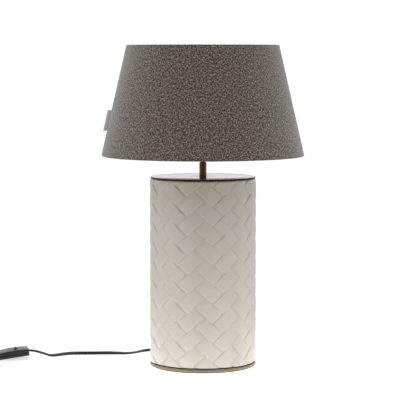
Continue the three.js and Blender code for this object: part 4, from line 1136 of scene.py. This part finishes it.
@dataclass
class Foot:
    """Felt, foot plate, gasket, nut and washer."""

    clearance: float = 0.3 * MM
    edge: float = 1.5 * MM
    gasket_width: float = 6 * MM

    def build(self) -> None:
        """Make and dress the foot's pieces."""
        low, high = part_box("foot_plate")
        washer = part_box("foot_washer")[1]
        recess, recess_top = washer.x + self.clearance, washer.z + self.clearance
        corners = np.array([
            [recess, low.z], [high.x, low.z], [high.x, high.z], [ROD_HOLE, high.z],
            [ROD_HOLE, recess_top], [recess, recess_top],
        ])
        plate = turned("foot_plate_bronze", soften(corners, self.edge, 8), 160)
        dress(plate, FOOT_BRONZE, "base", "foot_plate")
        low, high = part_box("foot_gasket")
        outline = box_outline(high.x - self.gasket_width, high.x, low.z - JOIN, high.z + JOIN)
        gasket = turned("foot_gasket_ring", soften(outline, 0.2 * MM), 128)
        dress(gasket, RUBBER, "base", "foot_gasket")
        ring("felt_pad", "felt_disc", 0, 0.5 * MM, 128, FELT)
        ring("foot_nut", "foot_nut_hex", ROD_HOLE, 0.35 * MM, NUT_SEGMENTS, ZINC, outer=NUT_RADIUS,
             relief=hexagon(5 * MM))
        ring("foot_washer", "foot_washer_disc", ROD_HOLE, 0.15 * MM, 64, ZINC)


@dataclass
class Stem:
    """Top plate, stem tube, threaded rod and lock nut."""

    mirror: float = 0.5 * MM
    rim: float = 0.9 * MM
    tube_bore: float = 4.4 * MM
    tube_radius: float = 5.3 * MM
    chamfer: float = 0.6 * MM
    rod_radius: float = 4 * MM
    rod_bore: float = 3 * MM

    def build(self) -> None:
        """Make and dress the stem's pieces."""
        self.make_plate()
        low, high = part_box("stem_tube")
        bottom = low.z - 0.28 * MM
        tube = np.array([
            [self.tube_bore, bottom], [self.tube_radius, bottom], [self.tube_radius, high.z - self.chamfer],
            [self.tube_radius - self.chamfer, high.z], [self.tube_bore, high.z],
        ])
        dress(turned("stem_tube_bronze", soften(tube, 0.15 * MM), 64), BRONZE, "base", "stem_tube")
        self.make_rod()
        ring("lock_nut", "lock_nut_hex", ROD_HOLE, 0.35 * MM, NUT_SEGMENTS, ZINC, outer=NUT_RADIUS,
             relief=hexagon(5 * MM))

    def make_plate(self) -> None:
        """Make the top plate as a mirror face let into an edge of bronze darkened with painted shade."""
        low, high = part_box("top_plate")
        under, edge = high.z - self.mirror, high.x - self.rim
        face = np.array([[ROD_HOLE, under], [edge, under], [edge, high.z], [ROD_HOLE, high.z]])
        dress(turned("top_plate_mirror", soften(face, 0.12 * MM), 160), POLISHED, "base", "top_plate")
        bottom, step = low.z - JOIN, high.x - 0.85 * MM
        rim = np.array([
            [ROD_HOLE, bottom], [high.x, bottom], [high.x, high.z - 0.35 * MM], [step, high.z - 0.1 * MM],
            [step, high.z - 0.55 * MM], [ROD_HOLE, high.z - 0.55 * MM],
        ])
        dress(turned("top_plate_edge", soften(rim, 0.3 * MM), 160), SHADED_EDGE_BRONZE, "base")

    def make_rod(self) -> None:
        """Make the hollow rod, threaded where it stands out of the tube."""
        low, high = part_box("threaded_rod")
        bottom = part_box("stem_tube")[1].z - 4 * MM
        span = np.linspace(bottom, high.z, 120)
        wall = np.stack([np.full_like(span, self.rod_radius), span], -1)
        plain = self.rod_radius - 0.1 * MM
        bare = np.array([
            [self.rod_bore, high.z], [self.rod_bore, low.z], [plain, low.z], [plain, bottom - 0.2 * MM],
        ])
        cut = thread(1 * MM, 0.35 * MM, self.rod_radius - 0.05 * MM)
        dress(turned("threaded_rod_pipe", np.vstack([wall, bare]), 48, cut), BRONZE, "base", "threaded_rod")


@dataclass
class Lampholder:
    """Cap, threaded skirt, insert, screw shell, contact and terminals."""

    thread_pitch: float = 3.5 * MM
    shell_pitch: float = 3.62 * MM
    skirt_radius: float = 19.2 * MM
    skirt_bore: float = 16.6 * MM
    cap_wall: float = 1.8 * MM

    def build(self) -> None:
        """Make and dress the lampholder's pieces."""
        self.make_cap()
        self.make_skirt()
        ring("lampholder_insert", "lampholder_insert_disc", 0, 0.6 * MM, 96, PORCELAIN)
        self.make_shell()
        for node, finish in (
            ("lampholder_contact", BRASS), ("terminal_left", BRASS), ("terminal_right", BRASS),
            ("inner_cord", CORD_BLACK), ("core_blue", BLUE), ("core_brown", BROWN),
        ):
            dress_node(node, finish)

    def make_cap(self) -> None:
        """Make the ribbed cap: its shoulder's radius goes as sin(t pi / 2), its height as 1 - cos."""
        low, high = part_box("lampholder_cap")
        dome = np.linspace(0, 1, 12)
        dome_r = 9 * MM + (high.x - 9 * MM) * np.sin(dome * np.pi / 2)
        dome_z = low.z + 4.3 * MM + 12 * MM * (1 - np.cos(dome * np.pi / 2))
        outside = np.vstack([
            [[4.3 * MM, low.z], [8.6 * MM, low.z], [9 * MM, low.z + 0.4 * MM]],
            np.stack([dome_r, dome_z], -1), [[high.x, high.z + JOIN]],
        ])
        inner = high.x - self.cap_wall
        inside = np.array([
            [inner, high.z + JOIN], [inner, low.z + 16.3 * MM],
            [7.2 * MM, low.z + 6 * MM], [4.3 * MM, low.z + 6 * MM],
        ])
        grip = ribs(24, 0.5 * MM, high.x - 0.3 * MM)
        shell = turned("lampholder_cap_shell", np.vstack([outside, inside]), 192, grip)
        dress(shell, BLACK, "base", "lampholder_cap")

    def make_skirt(self) -> None:
        """Make the skirt with its flange below and its thread above."""
        low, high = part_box("lampholder_skirt")
        span = np.linspace(low.z + 7 * MM, high.z, 90)
        outer, inner = self.skirt_radius, self.skirt_bore
        wall = np.stack([np.full_like(span, outer), span], -1)
        plain, corner = outer - 0.05 * MM, high.x - 0.4 * MM
        flange = np.array([
            [inner, low.z], [corner, low.z], [high.x, low.z + 0.4 * MM], [high.x, low.z + 1.6 * MM],
            [corner, low.z + 2 * MM], [plain, low.z + 2 * MM], [plain, low.z + 6.9 * MM],
        ])
        skirt = np.vstack([flange, wall, [[inner, high.z]]])
        cut = thread(self.thread_pitch, 0.7 * MM, outer - 0.01 * MM, outer + 0.01 * MM)
        dress(turned("lampholder_threaded_skirt", skirt, 96, cut), BLACK, "base", "lampholder_skirt")

    def make_shell(self) -> None:
        """Make the rolled brass shell: its radius moves by sin(2 pi z / pitch)."""
        low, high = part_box("lampholder_screw_shell")
        span = np.linspace(low.z, high.z, 60)
        wave = 0.3 * MM * np.sin(2 * np.pi * span / self.shell_pitch)
        shell = np.vstack([
            np.stack([high.x - 0.3 * MM + wave, span], -1),
            np.stack([high.x - 0.75 * MM + wave, span], -1)[::-1],
        ])
        dress(turned("lampholder_shell_brass", shell, 96), BRASS, "base", "lampholder_screw_shell")


@dataclass
class Bulb:
    """Screw cap, foot contact, collar and globe."""

    pitch: float = 3.62 * MM
    globe_radius: float = 30 * MM
    neck: float = 27 * MM
    collar_foot: float = 15 * MM

    def build(self) -> None:
        """Make and dress the bulb."""
        ring("bulb_foot_contact", "bulb_contact_button", 0, 0.8 * MM, 48, BRASS, "bulb")
        low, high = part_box("bulb_cap")
        span = np.linspace(low.z + 3.5 * MM, high.z - 4 * MM, 90)
        wall = np.stack([np.full_like(span, high.x), span], -1)
        plain = high.x - 0.01 * MM
        cap = np.vstack([
            [[0, low.z], [8 * MM, low.z], [high.x - 1 * MM, low.z + 3.3 * MM]], wall,
            [[plain, high.z - 3.9 * MM], [plain, high.z + JOIN], [0, high.z + JOIN]],
        ])
        cut = thread(self.pitch, 0.9 * MM, high.x - 0.005 * MM)
        dress(turned("bulb_screw_cap", cap, 96, cut), ZINC, "bulb", "bulb_cap")
        low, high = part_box("bulb_collar")
        t = np.linspace(0, 1, 24)
        flare = self.collar_foot + (high.x - self.collar_foot) * (0.5 - 0.5 * np.cos(np.pi * t)) ** 0.9
        side = np.stack([flare, low.z + (high.z - low.z) * t], -1)
        collar = np.vstack([[[0, low.z]], side, [[0, high.z]]])
        dress(turned("bulb_collar_shell", collar, 96), OPAL, "bulb", "bulb_collar")
        low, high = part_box("bulb_globe")
        radius = self.globe_radius
        middle = high.z - radius
        start = -math.acos(self.neck / radius)
        a = np.linspace(start, np.pi / 2, 40)
        dome = np.stack([radius * np.cos(a), middle + radius * np.sin(a)], -1)
        dome[-1, 0] = 0
        globe = np.vstack([[[0, low.z - 0.2 * MM], [self.neck, low.z - 0.2 * MM]], dome])
        dress(turned("bulb_opal_globe", globe, 96), OPAL, "bulb", "bulb_globe")


@dataclass
class Shade:
    """Tweed cone turned over two wire rings, lining, arms, fitter ring, clamp ring and ribbon label."""

    low_radius: float = 150 * MM
    high_radius: float = 112.4 * MM
    thickness: float = 0.7 * MM
    hem: float = 9 * MM
    wire_rise: float = 2.2 * MM
    roll: float = 2.1 * MM
    squareness: float = 0.62
    ring_radius: float = 1.5 * MM
    columns: int = 288
    cloth_rows: int = 70
    seam_angle: float = -math.pi / 2
    label_reach: float = 6.6 * MM

    def __post_init__(self) -> None:
        """Take the rims' heights from the CAD cloth."""
        low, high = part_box("shade_fabric")
        self.bottom, self.top = low.z, high.z

    def build(self) -> None:
        """Make and dress the shade."""
        self.make_cloth()
        self.make_lining()
        self.make_frame()
        self.make_label()
        self.make_clamp_ring()

    def cone(self, height: Array) -> Array:
        """Return the outer radius at a height: it falls evenly from the lower rim to the upper."""
        share = (height - self.bottom) / (self.top - self.bottom)
        return self.low_radius + (self.high_radius - self.low_radius) * share

    def middle_line(self) -> Array:
        """Return the cloth's middle line, from the lower hem's edge inside to the upper hem's.

        Round each wire it is a superellipse: x = roll cos^s, z = drop sin^s, s being the squareness.
        """
        half, lift, roll, square = self.thickness / 2, self.wire_rise, self.roll, self.squareness
        low_mid, high_mid = self.bottom + lift, self.top - lift
        outer_low = self.cone(np.array(low_mid)) - half
        outer_high = self.cone(np.array(high_mid)) - half
        a = np.linspace(0, np.pi, 14)[1:-1]
        out = np.sign(np.cos(a)) * np.abs(np.cos(a)) ** square
        drop = np.sin(a) ** square
        low_arc = np.stack([outer_low - roll - roll * out, low_mid - (lift - half) * drop], -1)
        rise = np.linspace(low_mid, high_mid, self.cloth_rows)
        side = np.stack([self.cone(rise) - half, rise], -1)
        high_arc = np.stack([outer_high - roll + roll * out, high_mid + (lift - half) * drop], -1)
        hem_low = np.linspace(self.bottom + self.hem, low_mid, 6)
        inner_low = np.stack([self.cone(hem_low) - half - np.linspace(2.3, 4.2, 6) * MM, hem_low], -1)
        hem_high = np.linspace(high_mid, self.top - self.hem, 6)
        inner_high = np.stack([self.cone(hem_high) - half - np.linspace(4.2, 2.3, 6) * MM, hem_high], -1)
        return np.vstack([inner_low, low_arc, side, high_arc, inner_high])

    def make_cloth(self) -> None:
        """Thicken the middle line, turn it, and lap the seam at the side where the label is sewn in."""
        line = self.middle_line()
        along = np.gradient(line, axis=0)
        along /= np.linalg.norm(along, axis=1, keepdims=True)
        square = np.stack([along[:, 1], -along[:, 0]], -1) * self.thickness / 2
        outline = np.vstack([line + square, (line - square)[::-1]])
        run = np.r_[0, np.cumsum(np.linalg.norm(np.diff(line, axis=0), axis=1))]
        columns = self.columns
        angle = np.linspace(0, 2 * np.pi, columns, endpoint=False)[None, :]
        off = np.angle(np.exp(1j * (angle - self.seam_angle)))
        lap = 0.35 * MM * np.clip((0.05 - np.abs(off)) / 0.008, 0, 1)
        height = outline[:, 1:] + 0 * angle
        sway = 0.12 * MM * np.sin(5 * angle + 1.1) * np.sin(2 * np.pi * (height - self.bottom) / 0.11)
        radius = outline[:, :1] + lap + sway - 0.15 * MM
        points = np.stack([radius * np.sin(angle), -radius * np.cos(angle), height], -1)
        count = len(outline)
        mesh = bpy.data.meshes.new("shade_tweed_cone")
        faces = quads(count, columns, True, True)[:, ::-1]
        mesh.from_pydata(points.reshape(-1, 3).tolist(), [], faces.tolist())
        piece = link("shade_tweed_cone", mesh)
        across = np.arange(columns + 1) / columns * 2 * np.pi * 0.131
        paint_cloth(piece, across, np.r_[run, run[::-1]], columns)
        dress(piece, TWEED, "shade", "shade_fabric")

    def make_lining(self) -> None:
        """Make the white lining that stiffens the cloth from inside."""
        low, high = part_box("shade_lining")
        height = np.linspace(low.z + 1.2 * MM, high.z - 1.2 * MM, 12)
        outer = np.stack([self.cone(height) - 1.25 * MM, height], -1)
        inner = outer[::-1] - [0.5 * MM, 0]
        dress(turned("shade_lining_sheet", np.vstack([outer, inner]), 192), LINING, "shade", "shade_lining")

    def wire(self, name: str, start: Vector, end: Vector, sides: int = 16) -> bpy.types.Object:
        """Make a straight wire with rounded ends: rings of radius r sqrt(1 - t^4) close each end."""
        along = np.array(end - start)
        length = np.linalg.norm(along)
        along /= length
        level = np.cross(along, [0.0, 0.0, 1.0])
        level /= np.linalg.norm(level)
        upward = np.cross(level, along)
        t = np.r_[np.linspace(0, 1.2 * MM, 6), np.linspace(length - 1.2 * MM, length, 6)]
        near = np.minimum(t, length - t) / (1.2 * MM)
        radius = self.ring_radius * np.sqrt(np.clip(1 - (1 - near) ** 4, 0, 1))
        a = np.linspace(0, 2 * np.pi, sides, endpoint=False)
        ring = np.cos(a)[None, :, None] * level + np.sin(a)[None, :, None] * upward
        points = np.array(start) + along * t[:, None, None] + ring * radius[:, None, None]
        return make_object(name, points, quads(len(t), sides, False, True).tolist(), 80.0)

    def make_frame(self) -> None:
        """Make the wire rings, the arms and the fitter ring."""
        a = np.linspace(0, 2 * np.pi, 14, endpoint=False)
        for node, name in (("shade_bottom_ring", "shade_lower_wire"), ("shade_top_ring", "shade_upper_wire")):
            low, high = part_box(node)
            middle = (low.z + high.z) / 2
            radius = high.x - self.ring_radius
            section = np.stack([radius + self.ring_radius * np.cos(a), middle + 1.3 * MM * np.sin(a)], -1)
            dress(turned(name, section, 160), WIRE, "shade", node)
        low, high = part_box("shade_fitter_ring")
        ring("shade_fitter_ring", "shade_fitter_plate", high.x - 7 * MM, 0.5 * MM, 96, WIRE, "shade")
        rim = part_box("shade_bottom_ring")
        rim_radius, rim_height = rim[1].x - 2 * self.ring_radius, (rim[0].z + rim[1].z) / 2
        for index in range(3):
            angle = math.pi / 6 + index * 2 * math.pi / 3
            way = Vector((math.cos(angle), math.sin(angle), 0))
            start = way * (high.x - 0.5 * MM) + Vector((0, 0, (low.z + high.z) / 2))
            end = way * rim_radius + Vector((0, 0, rim_height))
            name = f"shade_arm_{index + 1}"
            dress(self.wire(f"{name}_wire", start, end), WIRE, "shade", name)

    def make_label(self) -> None:
        """Fold a blank ribbon and sew it into the seam: a loop whose section is a flattened teardrop."""
        low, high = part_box("shade_label")
        rows = np.linspace(low.z + 0.4 * MM, high.z - 0.4 * MM, 14)
        t = np.linspace(0, 2 * np.pi, 36, endpoint=False)
        reach = self.label_reach
        out = reach * (0.5 - 0.5 * np.cos(t))
        side = (0.28 * MM + 0.25 * MM * out / reach) * np.sin(t)
        curl = 0.5 * MM * np.sin((rows - low.z) / (high.z - low.z) * np.pi) - 0.2 * MM
        x = -(self.cone(rows)[:, None] - 0.6 * MM + out[None, :])
        y = side[None, :] + curl[:, None] * (out[None, :] / reach) ** 2
        points = np.stack([x, y, rows[:, None] + 0 * out[None, :]], -1)
        count, sides = len(rows), len(t)
        faces = quads(count, sides, False, True).tolist()
        faces.append(list(range(sides)))
        faces.append(list(range((count - 1) * sides, count * sides)))
        piece = make_object("blank_ribbon_label", points, faces, 50.0)
        mesh = piece.data
        place = np.empty(len(mesh.vertices) * 3)
        mesh.vertices.foreach_get("co", place)
        index = np.empty(len(mesh.loops), np.int64)
        mesh.loops.foreach_get("vertex_index", index)
        layer = mesh.uv_layers.new(name="cloth")
        layer.data.foreach_set("uv", place.reshape(-1, 3)[index][:, [0, 2]].ravel())
        dress(piece, RIBBON, "shade", "shade_label")

    def make_clamp_ring(self) -> None:
        """Make the ribbed ring that holds the shade down."""
        grip = ribs(30, 0.8 * MM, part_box("shade_clamp_ring")[1].x - 1 * MM)
        ring("shade_clamp_ring", "shade_clamp_ring_ribbed", 19.6 * MM, 0.7 * MM, 240, BLACK, "clamp_ring",
             relief=grip)


@dataclass
class CordPieces:
    """Gland, switch, plug and coil tie."""

    sleeve_length: float = 23.9 * MM
    sleeve_radius: float = 4.6 * MM
    sleeve_tip: float = 3.3 * MM
    sleeve_ribs: int = 6
    shank: float = 5 * MM
    flange: float = 7.5 * MM
    pin_radius: float = 2 * MM

    def gland(self) -> list:
        """Make the gland with its ribbed sleeve, and its nut inside the body.

        Returns:
            The gland's pieces.
        """
        low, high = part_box("cord_gland")
        middle = (0.0, (low.z + high.z) / 2)
        start, wall_side, tip = low.y, high.y - self.sleeve_length, high.y
        sleeve = np.linspace(wall_side + 2.4 * MM, tip - 1 * MM, 60)
        share = (sleeve - sleeve[0]) / (sleeve[-1] - sleeve[0])
        wave = 0.3 * MM * (0.5 - 0.5 * np.cos(2 * np.pi * share * self.sleeve_ribs)) * (share > 0.02)
        radius = self.sleeve_radius + (self.sleeve_tip - self.sleeve_radius) * share - wave
        shank, flange, seat = self.shank, self.flange, wall_side - 0.4 * MM
        outline = np.vstack([
            [[0, start], [shank - 0.4 * MM, start], [shank, start + 0.4 * MM], [shank, seat],
             [flange - 0.4 * MM, seat], [flange, wall_side], [flange, wall_side + 1.9 * MM],
             [flange - 0.5 * MM, wall_side + 2.4 * MM]],
            np.stack([radius, sleeve], -1), [[2.9 * MM, tip], [0, tip]],
        ])
        gland = turned_along_y("cord_gland_sleeve", outline, middle, 64)
        dress(gland, CORD_BLACK, "base", "cord_gland")
        low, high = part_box("gland_nut")
        outline = soften(box_outline(5.3 * MM, 8.5 * MM, low.y, high.y), 0.4 * MM)
        nut = turned_along_y("gland_nut_hex", outline, middle, NUT_SEGMENTS, hexagon(6 * MM))
        return [gland, dress(nut, BLACK, "base", "gland_nut")]

    def switch(self) -> list:
        """Round the switch's housings, rocker, screws and pin.

        Returns:
            The pieces on the cord.
        """
        made = []
        for node, name, body, finish, radius in (
            ("switch_upper_housing", "switch_top_shell", "base", BLACK, 0.5),
            ("switch_lower_housing", "switch_bottom_shell", "base", BLACK, 0.35),
            ("switch_rocker", "switch_rocker_cap", "rocker", BLACK, 0.35),
            ("switch_screw_1", "switch_screw_left", "base", ZINC, 0.15),
            ("switch_screw_2", "switch_screw_right", "base", ZINC, 0.15),
            ("switch_pivot_pin", "switch_pivot", "base", ZINC, 0.1),
        ):
            made.append(dress(softened_copy(node, name, radius * MM), finish, body, node))
        return made

    def plug(self) -> list:
        """Round the plug's body and its pins' ends.

        Returns:
            The pieces at the cord's end.
        """
        body = softened_copy("plug_body", "plug_moulded_body", 1.0 * MM)
        tie = softened_copy("coil_tie", "coil_tie_band", 0.2 * MM)
        made = [dress(body, CORD_BLACK, "base", "plug_body"), dress(tie, BLACK, "base", "coil_tie")]
        for node, name in (("plug_pin_1", "plug_pin_left"), ("plug_pin_2", "plug_pin_right")):
            low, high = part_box(node)
            a = np.linspace(0, np.pi / 2, 8)
            radius, end = self.pin_radius, high.y + 0.4 * MM
            tip = np.stack([radius * np.sin(a), low.y + radius * (1 - np.cos(a))], -1)
            outline = np.vstack([tip, [[radius, end], [0, end]]])
            pin = turned_along_y(name, outline, ((low.x + high.x) / 2, (low.z + high.z) / 2), 32)
            made.append(dress(pin, ZINC, "base", node))
        return made


def main() -> None:
    """Build the lamp, camera and cords first."""
    logging.basicConfig(level=logging.INFO, format="%(name)s %(message)s")
    bpy.context.scene.view_settings.view_transform = "Standard"
    Studio().build()
    cords = Cords(FlatCord(), Coil())
    cords.build()
    pieces = CordPieces()
    cords.declare(pieces.gland(), pieces.switch(), pieces.plug())
    CeramicBody().build()
    Foot().build()
    Stem().build()
    Lampholder().build()
    Bulb().build()
    Shade().build()


if __name__ == "__main__":
    main()
